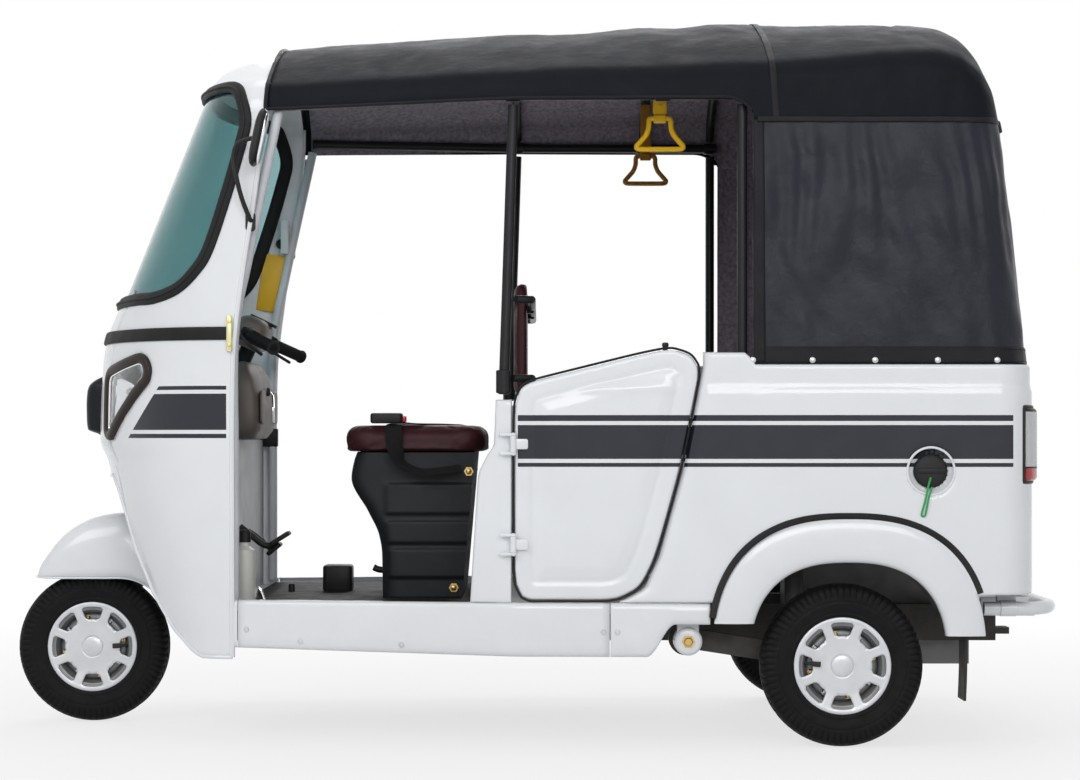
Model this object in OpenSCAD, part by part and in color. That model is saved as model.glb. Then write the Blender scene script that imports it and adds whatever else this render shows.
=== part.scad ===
// Three-wheeled passenger taxi: front is -X, left side is -Y, the ground is Z = 0.

/* [Overall] */
// Length from the front tyre to the rear bumper
length = 2770; // [2650:10:2900]
// Distance of the bumper's rear face behind the rear wall
bumper_set = 92; // [84:1:104]
// Half width of the body at the passenger seat
body_half_w = 655; // [640:1:680]
// Height of the roof above the ground at its highest
roof_z = 1906; // [1880:1:1960]
// Thickness of doors and body walls
wall_t = 24; // [16:1:28]

/* [Wheels] */
// Outer radius of the tyres
tyre_r = 206; // [196:1:212]
// Width of the tyres
tyre_w = 100; // [88:1:106]
// Radius of the rim where the tyre sits
bead_r = 102; // [94:1:110]
// Height of the rim's flange above the bead seat
flange_h = 10; // [6:1:14]
// Half width of the rim
rim_half_w = 42; // [36:1:44]
// Thickness of the rim's flange
flange_t = 6; // [4:1:8]
// Radius of the stub axles
axle_r = 14; // [11:1:18]
// Radius of the hub
hub_r = 34; // [28:1:40]
// Distance of the rear wheels' centre planes inside the body's sides
track_in = 70; // [63:1:80]
// Number of slots in each wheel disc
slot_count = 8; // [6:1:10]

/* [Steering] */
// Rake of the steering axis from the vertical, in degrees
rake = 25; // [22:1:28]
// Distance from the tyre's contact point forward to the axis at the ground
trail = 55; // [45:1:65]
// Height where the column leaves the console
head_z = 1036; // [1020:1:1050]
// Radius of the steering column
column_r = 22; // [18:1:26]
// Distance of the fork leg's middle from the wheel's centre plane
fork_y = 98; // [94:1:110]
// Thickness of the fork leg
fork_t = 24; // [18:1:28]
// Half width of the front mudguard
fender_half_w = 76; // [70:1:80]
// Thickness of the mudguard's sheet
fender_t = 4; // [3:1:6]
// Half length of the handlebar
bar_half = 380; // [340:1:400]
// Radius of the handlebar's tube
bar_r = 12; // [10:1:14]
// Radius of the grips
grip_r = 17; // [15:1:20]

/* [Cowl] */
// Depth of the cowl from its nose to its rear edge at the belt
cowl_depth = 417; // [400:1:430]
// Half width of the cowl at its rear edge
cowl_half_w = 525; // [515:1:535]
// Height of the cowl's lower end
cowl_z0 = 218; // [205:1:230]
// Distance of the cowl's top below the roof
cowl_drop = 105; // [86:1:126]
// Distance of the cowl's rear edge behind the front axle
cowl_set = 441; // [430:1:450]
// Thickness of the cowl's wall
cowl_t = 14; // [10:1:18]
// Width of the windscreen's rubber seal
seal_w = 20; // [14:1:26]
// Thickness of the windscreen
glass_t = 6; // [4:1:8]
// Height of the belt band's middle, share of the cowl's height
belt_share = 0.5237; // [0.5160:0.0001:0.5320]
// Height of the belt band
belt_h = 34; // [24:1:40]
// How far lamps, band and seal stand out of the cowl
proud = 12; // [8:1:16]

/* [Body] */
// Driver's doorway behind the cowl, share of the wheelbase
doorway_share = 0.307035; // [0.297:0.001:0.316]
// Width of the B post, share of the wheelbase
post_share = 0.057286; // [0.050:0.001:0.063]
// Length of the half door at its top, share of the wheelbase
door_share = 0.232663; // [0.221:0.001:0.241]
// Height of the half door's top
door_z = 996; // [970:1:1010]
// Gap around the doors and the lid
door_gap = 8; // [6:1:12]
// Distance of the rear wall behind the rear axle
overhang = 482; // [465:1:500]
// Radius of the body's rear corners in plan
corner_r = 90; // [70:1:110]
// Height of the sill's top
sill_z = 365; // [350:1:380]
// Height of the sill's lower edge
sill_z0 = 228; // [215:1:240]
// Height of the waist where the hood's hem sits
waist_z = 965; // [945:1:985]
// Height of the rear wall's lower edge
tail_z0 = 385; // [375:1:400]
// Radius of the rear wheel arches
arch_r = 246; // [236:1:256]
// Radial width of the arch flares
flare_w = 96; // [80:1:110]
// How far the flares stand out of the body
flare_out = 10; // [6:1:14]
// Half width of the engine lid
lid_half_w = 330; // [300:1:360]
// Height of the engine lid
lid_h = 300; // [270:1:330]

/* [Frame] */
// Height of the ladder frame's lower face
rail_z0 = 240; // [232:1:250]
// Height of the frame's rails
rail_h = 96; // [84:1:104]
// Width of the frame's rails
rail_w = 50; // [40:1:60]
// Distance of the rails' middle from the centre plane
rail_y = 225; // [215:1:235]
// Thickness of the floor's sheet
floor_t = 12; // [8:1:16]
// Height of the deck under the bench
deck_z = 600; // [580:1:620]
// Radius of the roof frame's tubes
tube_r = 13; // [11:1:15]
// Radius of the rear bumper's tube
bumper_r = 17; // [14:1:20]
// Radius of the tow eye's hole
eye_r = 11; // [8:1:13]
// Radius of the trailing arms' pivot tube
pivot_r = 24; // [20:1:28]

/* [Hood] */
// Thickness of the padded hood
hood_t = 8; // [6:1:10]
// Height of the roof above the hood's edge over the doorways
hood_h = 270; // [256:1:286]
// How far the hood's front edge leans back up to its crease
hood_lean = 34; // [20:1:40]
// How far the hood's back leans forward up to its crease
back_lean = 80; // [70:1:90]

/* [Seats] */
// Half width of the driver's seat
driver_half_w = 250; // [230:1:270]
// Height of the driver's seat base
driver_z = 742; // [725:1:760]
// Length of the driver's seat base at its top
driver_len = 341; // [320:1:360]
// Thickness of the driver's cushion
cushion_t = 64; // [50:1:80]
// Distance of the passenger bench's ends inside the body's sides
bench_in = 150; // [143:1:165]
// Length of the bench cushion
bench_len = 470; // [440:1:490]
// Thickness of the bench cushion
bench_t = 120; // [100:1:140]
// Height of the bench's backrest
bench_back_h = 430; // [400:1:450]

/* [Hidden] */
$fn = 48;

// Overrun of every cut past the face it cuts, gap between seated pieces, play of a pin in its bore
over = 5;
seat = 0.3;
play = 0.5;
// Reach of a cut that passes right through the part
reach = length;
// Thickness of one lofted slice
slice = 0.2;
// Steps along a curved section
steps = 20;

// Places along the vehicle
wheelbase = length - tyre_r - overhang - bumper_set;
doorway_len = doorway_share * wheelbase;
post_w = post_share * wheelbase;
door_len = door_share * wheelbase;
front_axle_x = -length / 2 + tyre_r;
rear_axle_x = front_axle_x + wheelbase;
axle_z = tyre_r;
cowl_x = front_axle_x + cowl_set;
post_x = cowl_x + doorway_len;
door_x = post_x + post_w;
tail_x = rear_axle_x + overhang;
bumper_x = length / 2 - bumper_r;

// Places across the vehicle
track_half = body_half_w - track_in;
bench_half_w = body_half_w - bench_in;

// Heights
opening_z = roof_z - hood_h;
cowl_z1 = roof_z - cowl_drop;
rail_z = rail_z0 + rail_h;
floor_z = rail_z + floor_t;
door_h = door_z - sill_z;
cowl_h = cowl_z1 - cowl_z0;
belt_z = cowl_z0 + belt_share * cowl_h;

// Body plan, columns: place along the body, half width
cowl_step = 10;
plan_taper = 13;
plan_front = 25;
plan_rows = [
    [cowl_x, cowl_half_w - cowl_step],
    [door_x, body_half_w - plan_front],
    [door_x + door_len, body_half_w - plan_taper / 2],
    [rear_axle_x, body_half_w]
];
function plan_half(x) = lookup(x, plan_rows);

module both_sides() {
    children();
    mirror([0, 1, 0]) children();
}

// Round bar from p to q
module rod(p, q, r) {
    v = q - p;
    translate(p) rotate([0, acos(v.z / norm(v)), atan2(v.y, v.x)]) cylinder(h = norm(v), r = r);
}

// Bent tube through the points, with a ball a little larger than the tube at each bend
bend_share = 1.04;
module pipe(points, r) {
    for (i = [1 : len(points) - 1]) rod(points[i - 1], points[i], r);
    if (len(points) > 2) for (i = [1 : len(points) - 2]) translate(points[i]) sphere(r = r * bend_share);
}

// Bent tube of flat facets for long frames
tube_sides = 10;
module tube_run(points, r, sides = tube_sides) {
    for (i = [1 : len(points) - 1]) hull() {
        translate(points[i - 1]) sphere(r = r, $fn = sides);
        translate(points[i]) sphere(r = r, $fn = sides);
    }
}

// Bar with its axis across the vehicle
module cross_bar(x, z, y0, y1, r) {
    translate([x, y1, z]) rotate([90, 0, 0]) cylinder(h = y1 - y0, r = r);
}

// Outline in the side view, carried across from y0 to y1
module side_block(points, y0, y1) {
    translate([0, y1, 0]) rotate([90, 0, 0]) linear_extrude(y1 - y0) polygon(points);
}

// Box between two corners
module span(a, b) {
    translate(a) cube(b - a);
}

// Outline of the body in plan, grown by g
module body_plan(g) {
    corner = [for (i = [0 : steps / 2]) let(a = 180 * i / steps)
        [tail_x - corner_r + (corner_r + g) * sin(a), body_half_w - corner_r + (corner_r + g) * cos(a)]];
    half = concat([for (row = plan_rows) [row.x, row.y + g]], corner);
    n = len(half);
    polygon(concat(half, [for (i = [0 : n - 1]) [half[n - 1 - i].x, -half[n - 1 - i].y]]));
}

// The body's wall all round, within an outline in the side view
module wall_within(points) {
    intersection() {
        linear_extrude(roof_z) difference() {
            body_plan(0);
            body_plan(-wall_t);
        }
        side_block(points, -reach, reach);
    }
}

// Chassis: two rails, cross members, a post with the steering head, and the arms' pivot tube
post_set = 62;
wall_set = 40;
head_post_w = 70;
post_neck = 36;
head_len = 200;
head_drop = 150;
head_wall = 12;
cross_w = 60;
pivot_set = 387;
pivot_lift = 26;
pivot_x = rear_axle_x - pivot_set;
pivot_z = rail_z0 + pivot_lift;
pivot_in = 29;
pivot_half = track_half - pivot_in;
pad_r = 40;
pad_h = 14;
tow_w = 60;
tow_t = 18;
tow_len = 48;
head_x = front_axle_x - trail + head_z * tan(rake);
rail_x0 = cowl_x - post_set - cross_w;
rail_x1 = tail_x - wall_t - over;
pad_x = post_x;

// Frame of the steering axis: origin where the column leaves the console, +Z up along the axis
module steer_frame() {
    translate([head_x, 0, head_z]) rotate([0, rake, 0]) children();
}

module head_bore(extra) {
    steer_frame() translate([0, 0, -head_drop - head_len - over])
        cylinder(h = head_len + head_drop + 2 * over, r = column_r + extra);
}

module chassis_frame() {
    rail_in_y = rail_y - rail_w / 2;
    half = rail_in_y - seat;
    color("dimgray") {
        both_sides() {
            span([rail_x0, rail_in_y, rail_z0], [rail_x1, rail_in_y + rail_w, rail_z]);
            cross_bar(pivot_x, pivot_z, rail_in_y + rail_w + seat, pivot_half, pivot_r);
        }
        for (x = [rail_x0, pad_x - cross_w / 2, rail_x1 - cross_w])
            span([x, -half, rail_z0], [x + cross_w, half, rail_z]);
        cross_bar(pivot_x, pivot_z, -half, half, pivot_r);
        translate([pad_x, 0, rail_z0 - pad_h]) cylinder(h = pad_h - seat, r = pad_r);
    }
}

// Post on the first cross member, with the steering head
module steering_post() {
    foot_z = rail_z + seat;
    post_top_z = head_z - head_drop * cos(rake);
    post_rear_x = cowl_x - wall_set - over;
    mid = head_drop + head_len / 2;
    head_mid = [head_x - mid * sin(rake), 0, head_z - mid * cos(rake)];
    color("dimgray") difference() {
        union() {
            side_block([[rail_x0, foot_z], [rail_x0 + cross_w, foot_z],
                [post_rear_x, post_top_z - head_len], [post_rear_x, post_top_z], [head_mid.x, post_top_z],
                [head_mid.x, head_mid.z], [post_rear_x - post_neck, head_mid.z - head_len / 2],
                [rail_x0 + post_neck / 2, post_top_z / 2 + cross_w]], -head_post_w / 2, head_post_w / 2);
            steer_frame() translate([0, 0, -head_drop - head_len])
                cylinder(h = head_len, r = column_r + head_wall);
        }
        head_bore(play);
    }
}

// Tongue with the tow eye behind the last cross member
module tow_tongue() {
    color("dimgray") difference() {
        span([rail_x1 + seat, -tow_w / 2, rail_z0], [tail_x + tow_len, tow_w / 2, rail_z0 + tow_t]);
        translate([tail_x + tow_len - 2 * eye_r, 0, rail_z0 - over])
            cylinder(h = tow_t + 2 * over, r = eye_r);
    }
}

// Floor: a sheet over the rails and a front wall up to the console's shelf
wall_inset = 48;
shelf_z = 773;
riser_set = 331;
riser_x = rear_axle_x - riser_set;
module floor_pan() {
    wall_half = cowl_half_w - wall_inset;
    color("silver") union() {
        translate([0, 0, rail_z]) linear_extrude(floor_t) intersection() {
            body_plan(-wall_t - seat);
            translate([cowl_x, -reach / 2]) square([riser_x - seat - cowl_x, reach]);
        }
        span([cowl_x - wall_set, -wall_half, rail_z], [cowl_x + over, wall_half, floor_z]);
        span([cowl_x - wall_set, -wall_half, rail_z], [cowl_x - wall_set + floor_t, wall_half, shelf_z]);
    }
}

// Engine: one plain block between the rails, on the cross member in front of the rear wall
engine_half_w = 185;
engine_set = 80;
engine_x0 = rear_axle_x - engine_set;
engine_x1 = rail_x1 - cross_w - seat;
engine_z0 = 172;
engine_z1 = 500;
engine_edge = 40;
module engine_block() {
    color("darkgray") side_block([
        [engine_x0, engine_z0 + engine_edge], [engine_x0 + engine_edge, engine_z0], [engine_x1, engine_z0],
        [engine_x1, engine_z1 - engine_edge], [engine_x1 - engine_edge, engine_z1], [engine_x0, engine_z1]
    ], -engine_half_w, engine_half_w);
}

// Exhaust: a pipe from the engine under the right rail to the silencer
pipe_r = 18;
pipe_set = 110;
silencer_r = 48;
silencer_y = 330;
silencer_x1 = rail_x1 - cross_w;
module exhaust() {
    z = rail_z0 - silencer_r + over;
    x = rear_axle_x + pipe_set;
    color("slategray") union() {
        cross_bar(x, z, engine_half_w + seat, silencer_y, pipe_r);
        translate([x - silencer_r, silencer_y, z]) rotate([0, 90, 0])
            cylinder(h = silencer_x1 - x + silencer_r, r = silencer_r);
        translate([silencer_x1, silencer_y, z]) rotate([0, 90, 0]) cylinder(h = cross_w, r = pipe_r);
    }
}

// Trailing arms: an eye on the pivot tube, a bar, a knuckle, and the stub axle that carries the wheel
arm_in = 119;
arm_y0 = track_half - arm_in;
arm_t = 36;
arm_h = 52;
eye_wall = 20;
knuckle_r = 40;
stub_len = 26;
module trailing_arms() {
    run = [rear_axle_x - pivot_x, axle_z - pivot_z];
    color("black") both_sides() difference() {
        union() {
            cross_bar(pivot_x, pivot_z, arm_y0, arm_y0 + arm_t, pivot_r + eye_wall);
            cross_bar(rear_axle_x, axle_z, arm_y0, arm_y0 + arm_t, knuckle_r);
            cross_bar(rear_axle_x, axle_z, arm_y0 + arm_t / 2, track_half + stub_len, axle_r);
            translate([pivot_x, arm_y0 + over, pivot_z]) rotate([0, -atan2(run.y, run.x), 0])
                translate([0, 0, -arm_h / 2]) cube([norm(run), arm_t - 2 * over, arm_h]);
        }
        cross_bar(pivot_x, pivot_z, arm_y0 - over, arm_y0 + arm_t + over, pivot_r + seat);
    }
}

// Half shafts from the engine to the knuckles
shaft_r = 13;
boot_r = 30;
boot_len = 60;
module half_shafts() {
    color("dimgray") both_sides() union() {
        cross_bar(rear_axle_x, axle_z, engine_half_w + seat, arm_y0 - seat, shaft_r);
        cross_bar(rear_axle_x, axle_z, engine_half_w + seat, engine_half_w + boot_len, boot_r);
        cross_bar(rear_axle_x, axle_z, arm_y0 - boot_len, arm_y0 - seat, boot_r);
    }
}

// Rear shock absorbers between the arms and the deck
shock_r = 24;
shock_rod_r = 10;
shock_share = 0.72;
shock_split_share = 0.55;
module rear_shocks() {
    x = pivot_x + shock_share * (rear_axle_x - pivot_x);
    tilt = atan2(axle_z - pivot_z, rear_axle_x - pivot_x);
    arm_top = arm_h / 2 / cos(tilt) + shock_r * tan(abs(tilt));
    z0 = pivot_z + shock_share * (axle_z - pivot_z) + arm_top + seat;
    z1 = deck_z - seat;
    y = arm_y0 + arm_t / 2;
    split = z0 + shock_split_share * (z1 - z0);
    color("dimgray") both_sides() union() {
        translate([x, y, z0]) cylinder(h = z1 - z0, r = shock_rod_r);
        translate([x, y, z0]) cylinder(h = split - z0, r = shock_r);
    }
}

// Cowl sections, columns: height share, nose depth share, half width share, rear edge share
cowl_shares = [
    [0.000, 0.630, 0.975, 0.000],
    [0.159, 0.794, 0.978, 0.000],
    [0.246, 0.894, 0.980, 0.000],
    [0.316, 0.947, 0.983, 0.000],
    [0.351, 1.000, 0.986, 0.000],
    [0.481, 0.981, 0.992, 0.007],
    [0.517, 0.959, 0.996, 0.017],
    [0.613, 0.808, 1.000, 0.062],
    [0.769, 0.564, 1.000, 0.151],
    [0.890, 0.373, 0.985, 0.206],
    [0.930, 0.309, 0.930, 0.214],
    [0.950, 0.278, 0.800, 0.217],
    [0.972, 0.218, 0.640, 0.221],
    [0.988, 0.098, 0.500, 0.224],
    [1.000, -0.120, 0.360, 0.226],
    [1.011, -0.170, 0.180, 0.228]
];
// Windscreen outline in the side view, columns: share of the cowl's depth, share of its height
screen_shares = [
    [0.043, 0.911], [0.082, 0.870], [0.043, 0.822], [-0.048, 0.740], [-0.153, 0.660], [-0.233, 0.627],
    [-0.357, 0.598], [-0.511, 0.585], [-1.250, 0.582], [-1.250, 0.944], [-0.053, 0.930], [0.007, 0.925]
];
// Front wheel's opening in the side view, same columns
well_shares = [
    [-1.600, 0.290], [-0.850, 0.290], [-0.775, 0.251], [-0.679, 0.167], [-0.552, 0.100], [-0.393, 0.042],
    [-0.235, 0.004], [-0.100, -0.010], [-0.100, -0.140], [-1.600, -0.140]
];
function on_cowl(shares) = [for (s = shares) [cowl_x + s[0] * cowl_depth, cowl_z0 + s[1] * cowl_h]];

// One plan section of the cowl, grown by g and carried back past its rear edge by back
module cowl_slice(row, g, back) {
    rear = cowl_x + row[3] * cowl_depth;
    deep = rear - cowl_x + row[1] * cowl_depth + g;
    half = row[2] * cowl_half_w + g;
    arc = [for (i = [0 : steps]) let(a = 180 * i / steps - 90) [rear - deep * cos(a), half * sin(a)]];
    tail = back > 0 ? [[rear + back, half], [rear + back, -half]] : [];
    translate([0, 0, cowl_z0 + row[0] * cowl_h + g]) linear_extrude(slice) polygon(concat(arc, tail));
}

module cowl_solid(g, back = 0) {
    for (i = [1 : len(cowl_shares) - 1]) hull() {
        cowl_slice(cowl_shares[i - 1], g, back);
        cowl_slice(cowl_shares[i], g, back);
    }
}

// Skin that follows the cowl between two growths
module cowl_skin(inner, outer) {
    difference() {
        cowl_solid(outer);
        cowl_solid(inner, over);
    }
}

module across(g, shares) {
    translate([0, reach / 2, 0]) rotate([90, 0, 0]) linear_extrude(reach)
        offset(delta = g) polygon(on_cowl(shares));
}

module front_cowl() {
    color("white") difference() {
        cowl_skin(-cowl_t, 0);
        across(0, screen_shares);
        across(0, well_shares);
    }
}

seal_out = 4;
module windscreen_glass() {
    color("darkslategray") intersection() {
        cowl_skin(-seal_out - glass_t, -seal_out);
        across(-seal_w - seat, screen_shares);
    }
}

// Windscreen seal and the belt band below it
module cowl_rubbers() {
    color("black") union() {
        intersection() {
            cowl_skin(-cowl_t, seal_out);
            difference() {
                across(-seat, screen_shares);
                across(-seal_w, screen_shares);
            }
        }
        intersection() {
            cowl_skin(seat, seal_out);
            span([cowl_x - reach, -reach / 2, belt_z - belt_h / 2],
                [cowl_x - over, reach / 2, belt_z + belt_h / 2]);
        }
    }
}

// Headlamps: a drop outline seen along the lamp's own axis, columns: place across, place up, radius
lamp_turn = 37;
lamp_set = 302;
lamp_y = 350;
lamp_z_share = 0.4233;
lamp_half_share = 0.0708;
lamp_z = cowl_z0 + lamp_z_share * cowl_h;
lamp_half = lamp_half_share * cowl_h;
lamp_shares = [[0.62, 0.60, 0.38], [-0.58, 0.30, 0.42], [-0.70, -0.72, 0.29]];
lamp_rim = 14;
module lamp_block(g) {
    both_sides() translate([cowl_x - lamp_set, -lamp_y, lamp_z]) rotate([0, 0, lamp_turn])
        rotate([90, 0, -90]) translate([0, 0, -cowl_depth / 4]) linear_extrude(cowl_depth / 2)
            offset(delta = g) hull() for (s = lamp_shares)
                translate([s[0], s[1]] * lamp_half) circle(r = s[2] * lamp_half, $fn = 32);
}

module lamp_surrounds() {
    color("black") intersection() {
        cowl_skin(seat, proud);
        difference() {
            lamp_block(0);
            lamp_block(-lamp_rim);
        }
    }
}

module lamp_lenses() {
    color("gainsboro") intersection() {
        cowl_skin(seat, proud - seal_out);
        lamp_block(-lamp_rim - seat);
    }
}

// Snout on the nose between the lamps
snout_half = 58;
snout_out = 46;
snout_h = 180;
snout_z_share = 0.3525;
snout_z0 = cowl_z0 + snout_z_share * cowl_h;
module nose_cover() {
    nose = cowl_x - cowl_depth;
    color("black") difference() {
        hull() both_sides() {
            span([nose, snout_half / 2, snout_z0], [nose + 2 * snout_out, snout_half, snout_z0 + snout_h]);
            translate([nose - snout_out + snout_half / 2, snout_half / 2, snout_z0 + snout_h / 6])
                cylinder(h = snout_h * 2 / 3, r = snout_half / 2, $fn = 32);
        }
        cowl_solid(seat, over);
    }
}

// Console under the handlebar, columns of its side outline: share of its depth, share of its height
console_w = 80;
console_h = 217;
console_half = 225;
console_shares = [[0, 0], [1, 0.06], [1, 0.51], [0.79, 0.77], [0.30, 0.98], [0, 1]];
console_x = cowl_x - wall_set + 2 * seat;
module dash_console() {
    outline = [for (s = console_shares)
        [console_x + s[0] * console_w, shelf_z + seat + s[1] * console_h]];
    color("dimgray") difference() {
        side_block(outline, -console_half, console_half);
        steer_frame() translate([0, 0, -reach / 2]) cylinder(h = reach, r = column_r + over);
    }
}

// Half door in the side view, columns: share of the door's length, share of its height
door_shares = [
    [0, 0], [0, 0.769], [0.028, 0.840], [0.082, 0.868], [0.678, 0.976], [0.842, 1.000], [0.950, 0.976],
    [1.000, 0.919], [0.896, 0.529], [0.760, 0.171], [0.678, 0.051], [0.544, 0]
];
function on_door() = [for (s = door_shares) [door_x + s[0] * door_len, sill_z + door_gap + s[1] * door_h]];

// Wheel arch centre
arch_lift = 14;
arch_x = rear_axle_x + arch_lift;
arch_z = axle_z + arch_lift;

module arch_hole(r) {
    cross_bar(arch_x, arch_z, -reach / 2, reach / 2, r);
}

sill_end_x = arch_x - arch_r - flare_w - over;
sill_drop = 14;
module rocker_panels() {
    color("white") wall_within([[cowl_x + seat, sill_z0 + sill_drop], [door_x, sill_z0],
        [sill_end_x, sill_z0], [sill_end_x, sill_z], [cowl_x + seat, sill_z]]);
}

// Door hinges: a pin held by two arms on the post, and a knuckle on the door
hinge_out = 12;
hinge_r = 8;
pin_r = 4;
knuckle_h = 40;
arm_plate = 7;
arm_r = 7;
leaf_len = 60;
leaf_t = 5;
hinge_x = door_x - door_gap / 2;
hinge_y = plan_half(door_x) + hinge_out;
hinge_shares = [0.22, 0.62];

module at_hinges() {
    for (s = hinge_shares) translate([hinge_x, -hinge_y, sill_z + door_gap + s * door_h]) children();
}

// B posts with the hinge pins, tapering towards the top
post_top_share = 0.81;
post_lean = 63;
post_neck_share = 0.58;
post_arm = 34;
module b_posts() {
    top_z = sill_z + post_top_share * door_h;
    neck_z = sill_z + post_neck_share * door_h;
    rear = door_x - door_gap;
    color("white") union() {
        wall_within([[post_x, sill_z + seat], [rear, sill_z + seat], [rear, top_z],
            [post_x + post_lean, top_z], [post_x + post_lean, neck_z], [post_x + post_lean / 3, neck_z]]);
        both_sides() at_hinges() {
            translate([0, 0, -knuckle_h / 2 - seat - arm_plate])
                cylinder(h = knuckle_h + 2 * seat + 2 * arm_plate, r = pin_r);
            for (z = [-knuckle_h / 2 - seat - arm_plate, knuckle_h / 2 + seat]) translate([0, 0, z]) {
                cylinder(h = arm_plate, r = arm_r);
                translate([-post_arm, -hinge_r / 2, 0]) cube([post_arm, hinge_out + hinge_r, arm_plate]);
            }
        }
    }
}

module door(side) {
    intersection() {
        wall_within(on_door());
        span([door_x - reach, side < 0 ? -reach : 0, 0], [door_x + reach, side < 0 ? 0 : reach, roof_z]);
    }
    mirror([0, side < 0 ? 0 : 1, 0]) at_hinges() translate([0, 0, -knuckle_h / 2]) difference() {
        union() {
            cylinder(h = knuckle_h, r = hinge_r);
            translate([0, -leaf_t / 2, 0]) cube([leaf_len, leaf_t, knuckle_h]);
            translate([leaf_len / 2, -leaf_t / 2, 0]) cube([leaf_len / 2, hinge_out + leaf_t, knuckle_h]);
        }
        translate([0, 0, -over]) cylinder(h = knuckle_h + 2 * over, r = pin_r + seat);
    }
}

module door_left() {
    color("white") door(-1);
}

module door_right() {
    color("white") door(1);
}

// Side panels with the inner wheel arches
liner_t = 8;
liner_in = 68;
liner_y = track_half - liner_in;
crest_h = 30;
crest_set = 130;
crest_x = door_x + door_len + crest_set;
split_in = 115;
rear_split = body_half_w - split_in;
joint_share = 0.52;
fuel_set = 218;
fuel_x = rear_axle_x + fuel_set;
fuel_z = 697;
fuel_r = 43;
recess_r = 58;
recess_h = 12;
module side_panels() {
    foot_x = door_x + joint_share * door_len;
    color("white") difference() {
        union() {
            difference() {
                wall_within([
                    [foot_x, sill_z + seat], [sill_end_x, sill_z + seat], [tail_x - corner_r, tail_z0],
                    [tail_x + over, tail_z0], [tail_x + over, waist_z], [crest_x, waist_z],
                    [crest_x - over, waist_z + crest_h], [door_x + door_len, waist_z + crest_h]
                ]);
                translate([0, reach / 2, 0]) rotate([90, 0, 0]) linear_extrude(reach)
                    offset(delta = door_gap) polygon(on_door());
                span([tail_x - 2 * corner_r, -rear_split, 0], [tail_x + over, rear_split, roof_z]);
            }
            both_sides() difference() {
                cross_bar(arch_x, arch_z, liner_y, body_half_w - wall_t / 2, arch_r + liner_t);
                span([arch_x - reach, 0, -reach], [arch_x + reach, reach, tail_z0]);
            }
        }
        arch_hole(arch_r);
        translate([fuel_x, -body_half_w + recess_h, fuel_z]) rotate([90, 0, 0])
            cylinder(h = recess_h + over, r = recess_r);
    }
}

flare_z0 = 300;
module arch_flares() {
    color("white") both_sides() difference() {
        cross_bar(arch_x, arch_z, body_half_w - plan_front, body_half_w + flare_out, arch_r + flare_w);
        arch_hole(arch_r);
        span([arch_x - reach, 0, -reach], [arch_x + reach, reach, flare_z0]);
        linear_extrude(roof_z) body_plan(seat);
    }
}

module fuel_filler() {
    color("black") union() {
        translate([fuel_x, -body_half_w + recess_h - seat, fuel_z]) rotate([90, 0, 0])
            cylinder(h = recess_h, r = fuel_r);
        translate([fuel_x - fuel_r, -body_half_w - recess_h / 2, fuel_z - recess_h / 2])
            cube([2 * fuel_r, recess_h, recess_h]);
    }
}

// Rear wall with the engine lid's opening, and the lid on its hinge
lid_lift = 36;
lid_z0 = tail_z0 + lid_lift;
lid_pin_x = tail_x + hinge_out;
lid_pin_z = lid_z0 + lid_h + door_gap / 2;
lid_hinge_share = 0.6;
plate_pitch = 140;
plate_hole_r = 4;
plate_z = 800;

module at_lid_hinges() {
    both_sides() translate([lid_pin_x, lid_hinge_share * lid_half_w, lid_pin_z]) rotate([90, 0, 0])
        children();
}

module rear_panel() {
    color("white") difference() {
        union() {
            intersection() {
                wall_within([[tail_x - corner_r, tail_z0], [tail_x + over, tail_z0],
                    [tail_x + over, waist_z], [tail_x - corner_r, waist_z]]);
                span([tail_x - wall_t, -rear_split + seat, 0], [tail_x + over, rear_split - seat, roof_z]);
            }
            at_lid_hinges() {
                translate([0, 0, -knuckle_h / 2 - seat - arm_plate])
                    cylinder(h = knuckle_h + 2 * seat + 2 * arm_plate, r = pin_r);
                for (z = [-knuckle_h / 2 - seat - arm_plate, knuckle_h / 2 + seat]) translate([0, 0, z]) {
                    cylinder(h = arm_plate, r = arm_r);
                    translate([-hinge_out - hinge_r, 0, 0])
                        cube([hinge_out + 2 * hinge_r, post_arm, arm_plate]);
                }
            }
        }
        span([tail_x - wall_t - over, -lid_half_w - door_gap, lid_z0 - door_gap],
            [tail_x + seat, lid_half_w + door_gap, lid_z0 + lid_h + door_gap]);
        for (y = [-plate_pitch / 2, plate_pitch / 2]) translate([tail_x - wall_t - over, y, plate_z])
            rotate([0, 90, 0]) cylinder(h = wall_t + 2 * over, r = plate_hole_r);
    }
}

module engine_lid() {
    color("white") difference() {
        union() {
            span([tail_x - wall_t, -lid_half_w, lid_z0], [tail_x, lid_half_w, lid_z0 + lid_h]);
            at_lid_hinges() translate([0, 0, -knuckle_h / 2]) {
                cylinder(h = knuckle_h, r = hinge_r);
                translate([-leaf_t / 2, -leaf_len, 0]) cube([leaf_t, leaf_len, knuckle_h]);
                translate([-hinge_out - leaf_t, -leaf_len, 0])
                    cube([hinge_out + leaf_t, leaf_len / 2, knuckle_h]);
            }
        }
        cross_bar(lid_pin_x, lid_pin_z, -lid_half_w, lid_half_w, pin_r + seat);
    }
}

// Tail lamps wrapped round the rear corners
tail_lamp_z0 = 668;
tail_lamp_h = 190;
tail_lamp_out = 20;
tail_lamp_w = 110;
module tail_lamps() {
    color("firebrick") both_sides() intersection() {
        linear_extrude(roof_z) difference() {
            body_plan(tail_lamp_out);
            body_plan(seat);
        }
        span([tail_x - corner_r / 3, rear_split - tail_lamp_w / 2, tail_lamp_z0],
            [tail_x + corner_r, rear_split + tail_lamp_w, tail_lamp_z0 + tail_lamp_h]);
    }
}

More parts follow.
